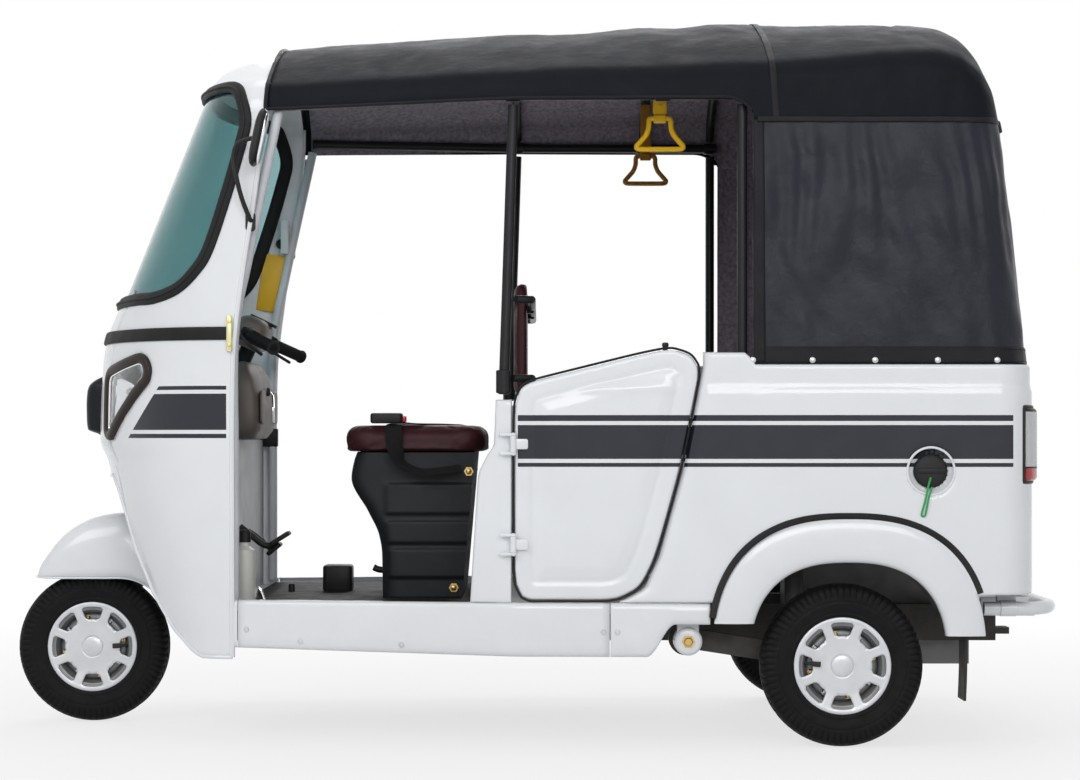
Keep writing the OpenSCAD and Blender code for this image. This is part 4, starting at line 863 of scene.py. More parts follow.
def build_roof():
    rows = roof_rows(2.0)
    # The roof's vinyl is darker than the curtain's: painted shade.
    roof = make("hood_roof", Form().add(grid(rows)), "chassis", roof_vinyl_painted_shade, ["hood_cover"],
                thick=2.5, angle=60)
    edge = Form()
    edge.add(tube(np.asarray(rows[0]) + (-1, 0, 0), 6, 8, 1, up=(1, 0, 0)))
    for k in (0, -1):
        edge.add(tube(np.array([r[k] for r in rows if r[k][0] < CURTAIN_X - 4]), 4.5, 8, 1))
    seam = min(roof_rows(4.0, count=400), key=lambda row: abs(row[30][0] - REAR_SEAM_X))
    edge.add(sweep(seam, ring(1.6, 10, 8, 0.7), False, (1, 0, 0)))
    for k, out in ((0, -2.5), (-1, 2.5)):
        hem = evenly_open([r[k] for r in rows[:-4] if r[k][0] > CURTAIN_X + 8], 160)
        edge.add(sweep(hem + (0, out, 0), ring(7, 10, 2.2, 0.7), False, (0, 1, 0)))
    binding = make("hood_binding", edge, "chassis", vinyl_edge)


def curtain_snaps():
    """Two rows of stitches along the hem and the press studs that hold it."""
    detail, path = Form(), curtain_path()
    side, _ = frames(path)
    for up in (8, 38):
        line = [lean(*p[:2], WAIST_Z + up) + 5.2 * s for p, s in zip(path, side)]
        stitches(detail, line, (0, 0, 1), 1)
    for x in SIDE_SNAPS:
        i = min(range(len(path) // 2), key=lambda k: abs(path[k][0] - x))
        at = lean(*path[i][:2], WAIST_Z + SNAP_UP) + 5 * side[i]
        detail.add(lathe(SNAP, 16), 0, place(*at, rx=90), twin=True)
    for y in BACK_SNAPS:
        detail.add(lathe(SNAP, 16), 0, place(HOOD_X0 + HOOD_LEN + 5, y, WAIST_Z + SNAP_UP, ry=90))
    return make("curtain_snaps", detail, "chassis", [steel, webbing])


def build_curtain():
    rows = curtain_rows(WAIST_Z + 2, SEAM_Z + 12, 38)
    # The curtain's vinyl is lighter and bluer than the roof's: painted sheen.
    cloth = make("hood_curtain", Form().add(grid(rows)), "chassis", curtain_vinyl_painted_sheen, thick=2.5, angle=60,
                 offset=1)
    band = Form().add(grid(curtain_rows(WAIST_Z + 1, WAIST_Z + 44, 8, 3.2, folds=0.4)))
    for first, last in ((0, 5), (CURTAIN_STEPS - 5, None)):
        band.add(grid(curtain_rows(WAIST_Z + 2, SEAM_Z + 4, 60, 3.4, first, last, 0.8)))
    strip = make("curtain_band", band, "chassis", vinyl_edge, thick=1.6, offset=1)
    snaps = curtain_snaps()
    inner = Form().add(grid(curtain_rows(WAIST_Z + 6, SEAM_Z + 40, 12, -5.0)))
    inner = make("curtain_lining", inner, "chassis", liner_painted_light)


def build_lining():
    rows = roof_rows(-8.0, 0.012, 0.965, 52, 8, False, 0.5)
    lining = make("hood_lining", Form().add(grid(rows)), "chassis", liner_painted_light, thick=1.5)


def build_rear_window():
    middle = CURTAIN_STEPS // 2
    pane = curtain_rows(1180, 1480, 24, 5.0, middle - 38, middle + 39, 0.5)
    make("rear_window", Form().add(grid(pane)), "chassis", glass, thick=1.5, offset=1)
    edge = [r[0] for r in pane] + pane[-1] + [r[-1] for r in pane[::-1]] + pane[0][::-1]
    edge = sweep(evenly(edge, 160), ring(9, 8, 2.5, 0.7), True, (1, 0, 0))
    make("window_binding", Form().add(edge), "chassis", vinyl_edge)


build_roof()
build_curtain()
build_lining()
build_rear_window()


# Roof frame: smooth tubes in place of the faceted ones, clamps and grab handles


TUBE_R, BAR_R, TUBE_SIDES, RAIL_IN, RAIL_UP, JOINT = 13.0, 10, 14, 29, 10, 25.0
FRONT_X = HOOD_X0 + LEAN + 26
POST_FOOT = np.array((-42.0, 612.5, 889.7))
BAR_HEIGHTS = (930.0, 1130.0)
HANDLE_X, HANDLE_Y, HANDLE_TOP, RIVET_Z = 360.0, 446.7, 1596, 1637
HANDLE = [(20, 1606), (28, 1600), (29, 1582), (36, 1563), (50, 1546), (60, 1534), (55, 1527), (26, 1526)]
MIRRORED = (1, -1, 1)


def rail_at(x, dz=0.0):
    return np.array((x, hood_width(x) - RAIL_IN, EDGE_Z + RAIL_UP + dz))


def plan_half(x):
    """Half the body's width at x."""
    return float(np.interp(x, [-738, -13, 450, 811], [515, 630, 648.5, 655]))


def frame_tube(points, per, up=(0, 0, 1)):
    return tube(points, TUBE_R, TUBE_SIDES, per, up=up)


def build_roof_frame():
    pillars, rails, posts, hoops, bars = (Form() for _ in range(5))
    pillar = [(-738, 474, 361), (-738, 474, 700), (-738, 474, 1040), (-698, 474, 1264)]
    pillars.add(frame_tube(pillar + [rail_at(FRONT_X, -JOINT)], 8), twin=True)
    rails.add(frame_tube([rail_at(x) for x in (FRONT_X, -250, HOOPS[0], 260, HOOPS[2])], 6), twin=True)
    top = rail_at(HOOPS[0], -JOINT)
    posts.add(frame_tube([POST_FOOT, top], 4), twin=True)
    for x, dz in ((HOOPS[2], -JOINT), (HOOPS[3], 0.0)):
        y = plan_half(x) - 37.5
        posts.add(frame_tube([(x, y, 700), (x, y, 1100), rail_at(x, dz)], 4), twin=True)
    for x in HOOPS:
        ys = [q * hood_width(x) for q in (-0.9, -0.7, -0.35, 0, 0.35, 0.7, 0.9)]
        end = rail_at(x, JOINT)
        arch = [(x, y, roof_height(x, y) - RAIL_IN) for y in ys]
        hoops.add(frame_tube([end * MIRRORED] + arch + [end], 6, (1, 0, 0)))
    for z in BAR_HEIGHTS:
        side = POST_FOOT + (z - POST_FOOT[2]) / (top[2] - POST_FOOT[2]) * (top - POST_FOOT) + (23, 0, 0)
        half = [side, (25, side[1] - 28, z), (29, side[1] - 57, z), (29, 250, z)]
        bars.add(tube(half + [np.asarray(p) * MIRRORED for p in half[::-1]], BAR_R, 12, 6))
    for y in (-170, 170):
        for z in BAR_HEIGHTS:
            bars.add(slab((10, y - 16, z - 15), (34, y + 16, z + 15), 3))
    for form, name, node in ((pillars, "pillar_tubes", "a_pillars"), (rails, "rail_tubes", "roof_rails"),
                             (posts, "post_tubes", "roof_posts"), (hoops, "hoop_tubes", "roof_hoops"),
                             (bars, "partition_tubes", "partition_bars")):
        make(name, form, "chassis", inner_white if form is pillars else tube_black, [node])


def build_clamps():
    clamps = Form()
    for x in HOOPS[:3]:
        collar = lathe([(13, -20), (16.5, -18), (16.5, 18), (13, 20)], 20)
        clamps.add(collar, 0, place(*rail_at(x), ry=90), twin=True)
    clamps.add(slab((-712, 440, 1320), (-690, 500, 1420), 3), 1, twin=True)
    socket = lathe([(13, -30), (19, -28), (19, 28), (13, 30)], 20)
    clamps.add(socket, 0, place(*(POST_FOOT + (0, 0, 32))), twin=True)
    make("frame_clamps", clamps, "chassis", [tube_black, white])


def build_grab_handles():
    """Strap, buckle and bell-shaped loop on each side of one hoop."""
    straps, x = Form(), HANDLE_X
    for mark, y in enumerate((-HANDLE_Y, HANDLE_Y)):
        top = roof_height(x, y) - RAIL_IN - TUBE_R - 2
        straps.add(slab((x - 15, y - 2.2, HANDLE_TOP), (x + 15, y + 2.2, top), 1.5), mark)
        straps.add(slab((x - 18, y - 5, 1618), (x + 18, y + 5, 1656), 2.5), mark)
        loop = [(x + dx, y, z) for dx, z in HANDLE] + [(x - dx, y, z) for dx, z in HANDLE[::-1]]
        straps.add(tube(loop, 6.8, 12, 5, True, (0, 1, 0)), mark)
        straps.add(slab((x - 16, y - 9, HANDLE_TOP - 2), (x + 16, y + 9, HANDLE_TOP + 18), 3), mark)
        rivet = lathe([(0, 7.5), (4, 7), (6, 5), (6, -5), (4, -7), (0, -7.5)], 16)
        straps.add(rivet, mark, place(x, y, RIVET_Z, rx=90))
    make("grab_loops", straps, "chassis", [yellow, amber], ["grab_handles"])


build_roof_frame()
build_clamps()
build_grab_handles()


# Body panels: x past CORNER_X runs round the rear corner and on along the back


TAIL_X, CORNER_R, BODY_HALF, SILL_Z = 1293.0, 90.0, 655.0, 365.0
CORNER_X = TAIL_X - CORNER_R
BACK_X = CORNER_X + CORNER_R * math.pi / 2
ARCH_X, ARCH_Z, ARCH_R, ARCH_POWER = 825.0, 220.0, 246.0, 2.5
PANEL_X0, PANEL_EASE, BELT_LINE_Z, BELT_STEP = 247, 330, 912, 5
FUEL_X, FUEL_Z, FUEL_R, FUEL_DEPTH = 1029.0, 697.0, 62, 15
DOOR_X, DOOR_LEN, DOOR_Z, DOOR_H = -13.0, 463.0, 373.0, 631.0
DOOR = [
    (0, 0), (0, 0.40), (0, 0.769), (0.028, 0.840), (0.082, 0.868), (0.35, 0.917), (0.678, 0.976),
    (0.842, 1.000), (0.950, 0.976), (1.000, 0.919), (0.950, 0.73), (0.896, 0.529), (0.760, 0.171),
    (0.678, 0.051), (0.544, 0), (0.27, 0)]
DOOR_MIDDLE = np.array((210.0, 660.0))
HINGE_X, HINGE_Y, HINGE_HEIGHTS = -17, 642, [DOOR_Z + s * DOOR_H for s in (0.22, 0.62)]
KNUCKLE, KNUCKLE_ENDS = [(4.6, -20), (8, -20), (8, 20), (4.6, 20)], (-27.3, 20.3)
FLARE = [
    (0, -24), (0.004, -8), (0.03, 1), (0.09, 6), (0.2, 9), (0.4, 10), (0.62, 9.4), (0.8, 7.5), (0.92, 5),
    (0.985, 2), (1, -3)]
FLARE_WIDE, FLARE_HIGH, FLARE_FEET, STRIP_ENDS = 98, 110, (314, 283), (343, 328)
SILL_FOOT = [(0, -20), (1, -7), (5, -2), (14, 0), (26, 1.5), (36, 1.5)]
SILL_HEAD = [(348, 1), (356, 0), (362, -3), (364.6, -9), (SILL_Z, -24)]
SILL_JOINTS = ((-737, -725), (-723, 225), (227, 477))
SILL_BOLTS = ((210, 292), (245, 292), (-700, 290), (-560, 262), (-300, 256))
PIVOT_X, PIVOT_Y, PIVOT_Z = 424, -612, 266
POST_TOP, POST_REAR = 876, -29
HEX_BOLT = [(0, 4), (5, 4), (6, 2.5), (6, 0), (9, 0), (9, -2)]


def plan_walk(x):
    """Point and outward direction on the left side, where x past the corner's start runs round it."""
    if x <= CORNER_X:
        return np.array((x, -plan_half(x))), np.array((0.0, -1.0))
    turn = (x - CORNER_X) / CORNER_R
    if turn < math.pi / 2:
        out = np.array((math.sin(turn), -math.cos(turn)))
        return np.array((CORNER_X, -BODY_HALF + CORNER_R)) + CORNER_R * out, out
    rest = (turn - math.pi / 2) * CORNER_R
    return np.array((TAIL_X, -BODY_HALF + CORNER_R + rest)), np.array((1.0, 0.0))


def on_side(x, z, out=0.0):
    p, n = plan_walk(x)
    return np.array((*(p + out * n), z))


def chaikin(outline, times=2):
    """Closed outline with its corners cut round."""
    p = np.asarray(outline, float)
    for _ in range(times):
        q = np.roll(p, -1, 0)
        p = np.stack([0.82 * p + 0.18 * q, 0.18 * p + 0.82 * q], 1).reshape(-1, 2)
    return p


door_edge = evenly(chaikin([(DOOR_X + a * DOOR_LEN, DOOR_Z + b * DOOR_H) for a, b in DOOR][::-1]), 220)


def arch_height(x, wide, high):
    """Height of a squarish arch over the wheel at x."""
    return ARCH_Z + high * max(0.0, 1 - (abs(x - ARCH_X) / wide) ** ARCH_POWER) ** (1 / ARCH_POWER)


def panel_low(x):
    base = np.interp(x, [478, 1203, 1400], [365.5, 385, 385])
    return max(base, arch_height(x, ARCH_R + 5, ARCH_R + 4)) if abs(x - ARCH_X) < ARCH_R else base


def panel_high(x):
    return WAIST_Z + 30 * soft_step((592 - x) / 26)


def panel_front(z):
    """Front edge of the side panel, along the door's rear edge."""
    return float(np.interp(z, [365, 400, 478, 705, 953, 995], [247, 311, 348, 411, 459, 459]))


def side_point(x0, v, low, high):
    """Point of the side panel: a step below the belt line, rolled edges and a dished fuel filler."""
    z, x_in = low + v * (high - low), x0 - PANEL_X0
    x = x0 + (panel_front(z) - PANEL_X0) * (1 - soft_step(x_in / PANEL_EASE))
    out = BELT_STEP * soft_step((BELT_LINE_Z - z) / 16) * soft_step(x_in / 40)
    out -= 9 * (1 - quarter(min((high - z) / 9, (z - low) / 7, x_in / 8 + 0.02)))
    out -= FUEL_DEPTH * soft_step((FUEL_R - math.hypot(x - FUEL_X, z - FUEL_Z)) / 9)
    return on_side(x, z, out)


def build_side_panels():
    form = Form()
    columns = np.concatenate([
        np.linspace(PANEL_X0, 700, 34)[:-1], np.linspace(700, CORNER_X, 72)[:-1],
        np.linspace(CORNER_X, BACK_X + 25, 18)])
    shares = np.concatenate([
        [0, 0.004, 0.010, 0.018], np.linspace(0.03, 0.97, 54), [0.982, 0.990, 0.996, 1.0]])
    rows = []
    for x in columns:
        low, high = panel_low(x), panel_high(x)
        rows.append([side_point(x, v, low, high) for v in shares])
    form.add(grid(rows), twin=True)
    arch = []
    for x in ARCH_X + (ARCH_R - 16) * np.sin(np.linspace(-math.pi / 2, math.pi / 2, 60)):
        z = arch_height(x, ARCH_R + 5, ARCH_R + 4) + 2
        arch.append([(x, y, z) for y in (-648, -630, -580, -517)])
    form.add(grid(arch), 1, twin=True)
    make("side_skins", form, "chassis", [white_body, steel_black], ["side_panels"], thick=5,
         angle=50)


def build_flares():
    flare, strip = Form(), Form()
    rows, line = [], []
    for t in np.linspace(-math.pi / 2, math.pi / 2, 110):
        row, end = [], int(t >= 0)
        for q, out in FLARE:
            wide, high = ARCH_R + q * FLARE_WIDE, ARCH_R + q * FLARE_HIGH
            foot = (FLARE_FEET[end] - ARCH_Z) / high
            x = ARCH_X + wide * (1 - foot**ARCH_POWER) ** (1 / ARCH_POWER) * math.sin(t)
            row.append((x, -BODY_HALF - out, arch_height(x, wide, high)))
        rows.append(row)
        x = ARCH_X + STRIP_ENDS[end] * math.sin(t)
        line.append((x, -BODY_HALF - 3.2, arch_height(x, 350, 364)))
    flare.add(grid(rows), twin=True)
    strip.add(sweep(evenly_open(line, 150), ring(8.5, 10, 4.5, 0.6), False, (0, 1, 0)), twin=True)
    make("flare_skins", flare, "chassis", white, ["arch_flares"], thick=3, angle=50)
    make("flare_strips", strip, "chassis", rubber)


def build_sills():
    """Rocker panels in three lengths, and the boss and bolt of the trailing arm's pivot."""
    sill = Form()
    for x0, x1 in SILL_JOINTS:
        rows = []
        for x in np.linspace(x0, x1, 40):
            foot = float(np.interp(x, [-738, -13], [242, 228])) + 82 * soft_step((x - 318) / 72)
            lower = [on_side(x, foot + dz, out) for dz, out in SILL_FOOT]
            rows.append(lower + [on_side(x, z, out) for z, out in SILL_HEAD])
        sill.add(grid(rows), twin=True)
    for x, z in SILL_BOLTS:
        sill.add(lathe(HEX_BOLT, 6), 1, place(*on_side(x, z, 2), rx=90), twin=True)
    boss = lathe([(0, 3), (26, 3), (33, 0), (36, -6), (36, -62), (0, -62)], 40)
    sill.add(boss, 0, place(PIVOT_X, PIVOT_Y, PIVOT_Z, rx=90), twin=True)
    sill.add(slab((PIVOT_X - 28, -604, 272), (PIVOT_X + 28, -588, 336), 4), 0, twin=True)
    bolt = lathe([(0, 11), (9, 11), (12, 8), (12, 3), (17, 3), (17, -2)], 6)
    sill.add(bolt, 2, place(PIVOT_X, PIVOT_Y - 2, PIVOT_Z, rx=90), twin=True)
    make("sill_skins", sill, "chassis", [white, steel, brass], ["rocker_panels"], thick=3,
         angle=45)


def build_posts():
    """B posts with the outer leaves and pins of the door hinges."""
    post = Form()
    rows = []
    for z in np.concatenate([[365.3, 367, 371], np.linspace(378, 862, 36), [869, 873.5, POST_TOP]]):
        x0 = float(np.interp(z, [365, 690, 735, 760, 876], [-127, -106, -84, -66, -62]))
        tip = -8 * (1 - quarter(min((POST_TOP + 0.4 - z) / 10, (z - 364) / 8)))
        front = [(x0, -16), (x0 + 0.6, -6), (x0 + 3, -1.5), (x0 + 8, 0)]
        flat = [(x0 + 8 + k * (POST_REAR - x0 - 8), 0) for k in (0.25, 0.5, 0.75, 1)]
        rear = [(POST_REAR + 5, -1.5), (POST_REAR + 7.4, -6), (POST_REAR + 8, -16)]
        rows.append([on_side(x, z, tip + out) for x, out in front + flat + rear])
    post.add(grid(rows), twin=True)
    for z in HINGE_HEIGHTS:
        for dz in KNUCKLE_ENDS:
            post.add(plate(rounded(44, 14, 6.5), z + dz, z + dz + 7, 1.5), 0, place(-31, -640, 0), twin=True)
        pin = lathe([(0, -29), (4, -29), (4, 29), (0, 29)], 14)
        post.add(pin, 1, place(HINGE_X, -HINGE_Y, z), twin=True)
    make("post_skins", post, "chassis", [white, steel], ["b_posts"], thick=4, angle=45)


def build_door_seals():
    line = [on_side(x, z, -7) for x, z in inset(door_edge, -4.2)]
    seals = Form().add(tube(line, 3.0, 8, 1, True, (0, 1, 0)), twin=True)
    make("door_seals", seals, "chassis", rubber)


def door_relief(x, z):
    """Rolled edge, a groove and raised field inside it, and a ridge across the top."""
    d = float(np.min(np.hypot(door_edge[:, 0] - x, door_edge[:, 1] - z)))
    roll = -10 * (1 - quarter(d / 10))
    press = -3.2 * math.exp(-(((d - 46) / 8) ** 2)) + 4.5 * soft_step((d - 52) / 34)
    ridge = 3.5 * math.exp(-(((z - 905) / 14) ** 2)) * soft_step((d - 30) / 30)
    return roll + press + ridge


def build_door(side, body, node):
    mirror = (1, side, 1)
    shares = np.concatenate([
        [1, 0.996, 0.99, 0.982, 0.972], np.linspace(0.955, 0.60, 24), np.linspace(0.58, 0.02, 8), [0.0]])
    rows = []
    for s in shares:
        loop = DOOR_MIDDLE + s * (door_edge - DOOR_MIDDLE)
        rows.append([on_side(x, z, door_relief(x, z)) * mirror for x, z in loop])
    form = Form().add(grid(rows, False, True))
    make(node + "_skin", form, body, white_body, [node], thick=20, angle=50)
    hinge = Form()
    for z in HINGE_HEIGHTS:
        hinge.add(lathe(KNUCKLE, 20), 0, place(HINGE_X, -HINGE_Y * side, z))
        hinge.add(plate(rounded(34, 26, 5), 0, 3, 1.2), 0, place(3, -640 * side, z, rx=90 * side))
    knob = lathe([(0, 16), (7, 15), (9, 9), (6, 2), (6, -14), (0, -14)], 18)
    hinge.add(knob, 2, place(*(on_side(365, 1004, -12) * mirror)))
    latch, size = on_side(330, 930, -26) * mirror, np.array((40, 6, 14))
    hinge.add(slab(latch - size, latch + size, 3), 2)
    make(node + "_fittings", hinge, body, [white, steel, plastic])


build_side_panels()
build_flares()
build_sills()
build_posts()
build_door_seals()
build_door(1, "left_door", "door_left")
build_door(-1, "right_door", "door_right")


# Rear: panel, engine lid, tail lamps, bumper, flaps, fuel cap


REAR_HALF, REAR_Z0, LID_HALF, LID_Z0, LID_Z1 = 539, 385, 338.0, 413.0, 729.0
LID_HINGE_X, LID_HINGE_Y, LID_HINGE_Z = 1305, 198, 725
PLATE_Y, PLATE_Z = 70, 800
LOUVRES, LOUVRE_Y, LOUVRE_Z, LOUVRE_PITCH, LOUVRE_HALF = 6, 150, 500, 24, 95
TAIL_Z0, TAIL_Z1, TAIL_ROUND, TAIL_OUT, TAIL_EDGES = 669.0, 857.0, 14, 17, (704, 709, 846)
BUMPER_Z = 346
BUMPER = [(1178, -560), (1240, -560), (1296, -556), (1338, -520), (1362, -462), (1368, -400), (1368, -150)]
TIE = [
    (-2, -12, -16), (-8, -9, -40), (-14, -9, -70), (-22, -8, -100), (-24, -8, -112), (-16, -8, -112),
    (-12, -9, -96), (-6, -9, -66), (2, -10, -40)]


def rear_point(y, z):
    """Point of the rear panel, with a pressed field for the plate and rolled edges."""
    press = 5 * soft_step(min(330 - abs(y), z - 745, 868 - z) / 14)
    roll = 8 * (1 - quarter(min((WAIST_Z + 0.5 - z) / 8, (z - REAR_Z0 + 1) / 6)))
    return TAIL_X - press - roll, y, z


def rear_stays(c):
    """Whether a face at c is outside the lid's opening and the plate's holes."""
    in_lid = abs(c[1]) < LID_HALF and LID_Z0 < c[2] < LID_Z1
    return not in_lid and math.hypot(abs(c[1]) - PLATE_Y, c[2] - PLATE_Z) > 5.5


def build_rear_panel():
    ys = np.concatenate([
        np.linspace(-REAR_HALF, -LID_HALF, 24)[:-1], np.linspace(-LID_HALF, LID_HALF, 60)[:-1],
        np.linspace(LID_HALF, REAR_HALF, 24)])
    zs = np.concatenate([
        np.linspace(REAR_Z0, LID_Z0, 6)[:-1], np.linspace(LID_Z0, LID_Z1, 36)[:-1],
        np.linspace(LID_Z1, WAIST_Z, 30)])
    form = Form().add(grid([[rear_point(y, z) for z in zs] for y in ys], keep=rear_stays))
    for y in (-LID_HINGE_Y, LID_HINGE_Y):
        pin = lathe([(0, -28), (4, -28), (4, 28), (0, 28)], 14)
        form.add(pin, 1, place(LID_HINGE_X, y, LID_HINGE_Z, rx=90))
        for dy in KNUCKLE_ENDS:
            form.add(plate(rounded(30, 44, 6), dy, dy + 7, 1.5), 0, place(1299, y, 742, rx=90))
    for y in (-PLATE_Y, PLATE_Y):
        eye = lathe([(4.2, 1.5), (8, 1.5), (9, 0), (9, -8), (4.2, -8)], 18)
        form.add(eye, 2, place(TAIL_X - 4, y, PLATE_Z, ry=90))
    make("rear_skin", form, "chassis", [white, steel, rubber], ["rear_panel"], thick=6,
         angle=45)


def build_lid():
    lid = Form()
    panel = plate(rounded(660, 300, 16, 8), 0, 22, 6, 4)
    lid.add(panel, 0, place(TAIL_X - 24, 0, 571, ry=90) @ place(rz=90))
    for k in range(LOUVRES):
        for y in (-LOUVRE_Y, LOUVRE_Y):
            ends = np.linspace(-LOUVRE_HALF, LOUVRE_HALF, 24)
            slot = [(y + dy, LOUVRE_Z + LOUVRE_PITCH * k) for dy in ends]
            rise = [3.4 * math.sin(math.pi * i / (len(slot) - 1)) for i in range(len(slot))]
            hood = [(TAIL_X - 1.0 + up, *p) for up, p in zip(rise, slot)]
            lid.add(sweep(hood, ring(5.5, 10, 4.5), False, (1, 0, 0)), 0)
            gap = [(TAIL_X - 0.2, py, pz - 6.5) for py, pz in slot[2:-2]]
            lid.add(sweep(gap, ring(2.6, 6, 1.2), False, (1, 0, 0)), 2)
    for y in (-LID_HINGE_Y, LID_HINGE_Y):
        lid.add(lathe(KNUCKLE, 20), 0, place(LID_HINGE_X, y, LID_HINGE_Z, rx=90))
        lid.add(plate(rounded(58, 36, 6), 0, 3.5, 1.2), 0, place(TAIL_X - 1, y, 693, ry=90))
        lid.add(plate(rounded(40, 36, 6), 0, 3.5, 1.2), 0, place(TAIL_X - 2, y, 712, ry=62))
        for z in (670, 694):
            lid.add(lathe([(0, 3), (5, 2.6), (6, 0)], 6), 1, place(TAIL_X + 2.5, y, z, ry=90))
    lock = lathe([(0, 14), (16, 13), (18, 8), (18, 0), (22, 0), (22, -2)], 28)
    lid.add(lock, 2, place(TAIL_X - 2, 0, 452, ry=90))
    lid.add(slab((TAIL_X + 8, -4, 436), (TAIL_X + 15, 4, 468), 1.5), 2)
    make("engine_lid_skin", lid, "engine_cover", [white, steel, plastic], ["engine_lid"],
         angle=40)


def tail_mark(c):
    """Material number by height: red lens, black bar, clear lens, black cap."""
    return (1, 3, 0, 2)[sum(c[2] >= z for z in TAIL_EDGES)]


def build_tail_lamps():
    lamp = Form()
    walk = np.linspace(1268, BACK_X + 78, 46)
    low, high = TAIL_Z0 + TAIL_ROUND, TAIL_Z1 - TAIL_ROUND
    heights = np.concatenate([
        np.linspace(TAIL_Z0, low, 6)[:-1], np.linspace(low, high, 40), np.linspace(high, TAIL_Z1, 6)[1:]])
    rows = []
    for x in walk:
        side = min((x - walk[0]) / 16, (walk[-1] - x) / 16, 1.0)
        row = []
        for z in heights:
            up = min((z - TAIL_Z0) / TAIL_ROUND, (TAIL_Z1 - z) / TAIL_ROUND, 1.0)
            rib = 0.5 * math.cos(2 * math.pi * z / 9) if side == 1 and up == 1 else 0
            row.append(on_side(x, z, 0.8 + TAIL_OUT * quarter(side) * quarter(up) + rib))
        rows.append(row)
    for mark in range(4):
        lamp.add(grid(rows, keep=lambda c, m=mark: tail_mark(c) == m), mark, twin=True)
    up = np.linspace(TAIL_Z0, TAIL_Z1, 30)
    edge = [(x, TAIL_Z0) for x in walk] + [(walk[-1], z) for z in up]
    edge += [(x, TAIL_Z1) for x in walk[::-1]] + [(walk[0], z) for z in up[::-1]]
    edge = evenly([on_side(x, z, 3) for x, z in edge], 150)
    lamp.add(sweep(edge, ring(6, 10), True, (0.5, -0.6, 0.1)), 4, twin=True)
    make("tail_lamp_units", lamp, "chassis", [lamp_clear, red_lens, plastic, plastic, plastic],
         ["tail_lamps"], angle=30)


def build_bumper():
    bar = Form()
    path = [(x, y, BUMPER_Z) for x, y in BUMPER] + [(x, -y, BUMPER_Z) for x, y in BUMPER[::-1]]
    bar.add(tube(path, 17, 16, 8))
    bar.add(slab((1222, 250.4, 306), (1368, 260, 356), 3), 0, twin=True)
    collar = lathe([(17, -22), (20, -20), (20, 20), (17, 22)], 20)
    bar.add(collar, 0, place(1240, -560, BUMPER_Z, ry=90), twin=True)
    bar.add(slab((1212, -552, 330), (1262, -536, 384.6), 3), 0, twin=True)
    make("bumper_tube", bar, "chassis", white, ["rear_bumper"])


def build_flaps():
    flap = Form()
    line = [(1117 + 5 * math.sin((385 - z) / 95), z) for z in np.linspace(118, 384, 40)]
    flap.add(grid([[(x, y, z) for x, z in line] for y in np.linspace(-630, -536, 20)]), twin=True)
    for y in (-610, -583, -556):
        bolt = lathe([(0, 4), (5, 4), (6, 2), (6, 0), (9, 0), (9, -1)], 6)
        flap.add(bolt, 1, place(1124, y, 366, ry=90), twin=True)
    make("rear_flaps", flap, "chassis", [rubber, steel], ["mud_flaps"], thick=6, offset=0)


def build_fuel_cap():
    """Ribbed cap with a bar across, a ring round its dish, and a tie."""
    cap = Form()
    profile = [(0, 13), (18, 13), (30, 12), (38, 10), (42, 6), (43, 1), (43, -4), (36, -4)]
    cap.add(lathe(profile, 48), 0, place(FUEL_X, -BODY_HALF + 8, FUEL_Z, rx=90))
    at = np.array((FUEL_X, -BODY_HALF, FUEL_Z))
    cap.add(slab(at + (-34, -9, -6), at + (34, 1, 6), 3), 0)
    for k in range(24):
        a = 2 * math.pi * k / 24
        rib = at + (42 * math.cos(a), 0, 42 * math.sin(a))
        cap.add(slab(rib + (-1.6, -1, -1.6), rib + (1.6, 9, 1.6), 1), 0)
    turns = np.linspace(0, 2 * math.pi, 64, endpoint=False)
    circle = [at + (59 * math.cos(a), -4.2, 59 * math.sin(a)) for a in turns]
    cap.add(sweep(circle, ring(3.2, 8), True, (0, 1, 0)), 1)
    tie = through([at + p for p in TIE], 6)
    cap.add(sweep(tie, ring(2.6, 8, 0.9, 0.6), False, (0, 1, 0)), 2)
    make("fuel_cap", cap, "chassis", [plastic, white, green], ["fuel_filler"])


build_rear_panel()
build_lid()
build_tail_lamps()
build_bumper()
build_flaps()
build_fuel_cap()


# Wheels: profiles are (radius, half width) or (radius, height along the axle)


TYRE = [
    (103, 33), (110, 36), (113, 38.5), (117, 42.5), (122, 44.6), (127, 45.6), (129, 47.4), (133, 47.8),
    (135, 46.6), (145, 48.4), (155, 49.7), (160, 49.9), (162, 48.9), (165, 49.7), (171, 49.3), (178, 48.7),
    (185, 47.9), (191, 46.6), (196, 42.6), (200, 37.6), (202.5, 32), (204, 26.5), (204.4, 23), (200.5, 22.4),
    (200.5, 17.6), (205.2, 17), (205.6, 10), (205.8, 6), (201.8, 5.4), (201.8, 0)]
TREAD_STEPS, TREAD_DEPTH, TREAD_IN = 288, 3.6, 2.2
WHEEL_R, FRONT_AXLE_X, REAR_AXLE_X, REAR_WHEEL_Y = 206, -1179, 811, 585
WINDOW_IN, WINDOW_OUT, WINDOWS, WINDOW_ROUND, SPOKE_HALF, PER_WINDOW = 75.0, 110.0, 8, 8, 12.5, 16
CAP_RADII, CAP_HEIGHTS = [26, 62, 75, 110, 113, 118, 121, 123], [41.5, 41.5, 42, 45.6, 46.2, 47, 46.4, 44]
CAP_SKIRT_Z = 36
RIM = [(112, 37.5), (112, 41), (109, 42.4), (105, 41), (101.5, 36), (99, 30), (96.5, 24)]
RIM_DISC = [
    (94, 8), (90, 16), (84, 20), (70, 20), (60, 16), (40, 14), (30, 20), (0, 20), (0, 8), (60, 8), (80, 6),
    (94, 2), (94, 8)]
VALVE = (
    ([(98, 26), (92, 32), (86, 37), (76, 42), (58, 47)], 4, 10), ([(76, 42.5), (67, 45), (56, 48)], 6.6, 12))
WHEEL_NUT = [(0, 7), (4.4, 7), (5.4, 5.6), (5.4, 0), (8, 0), (8, -1)]


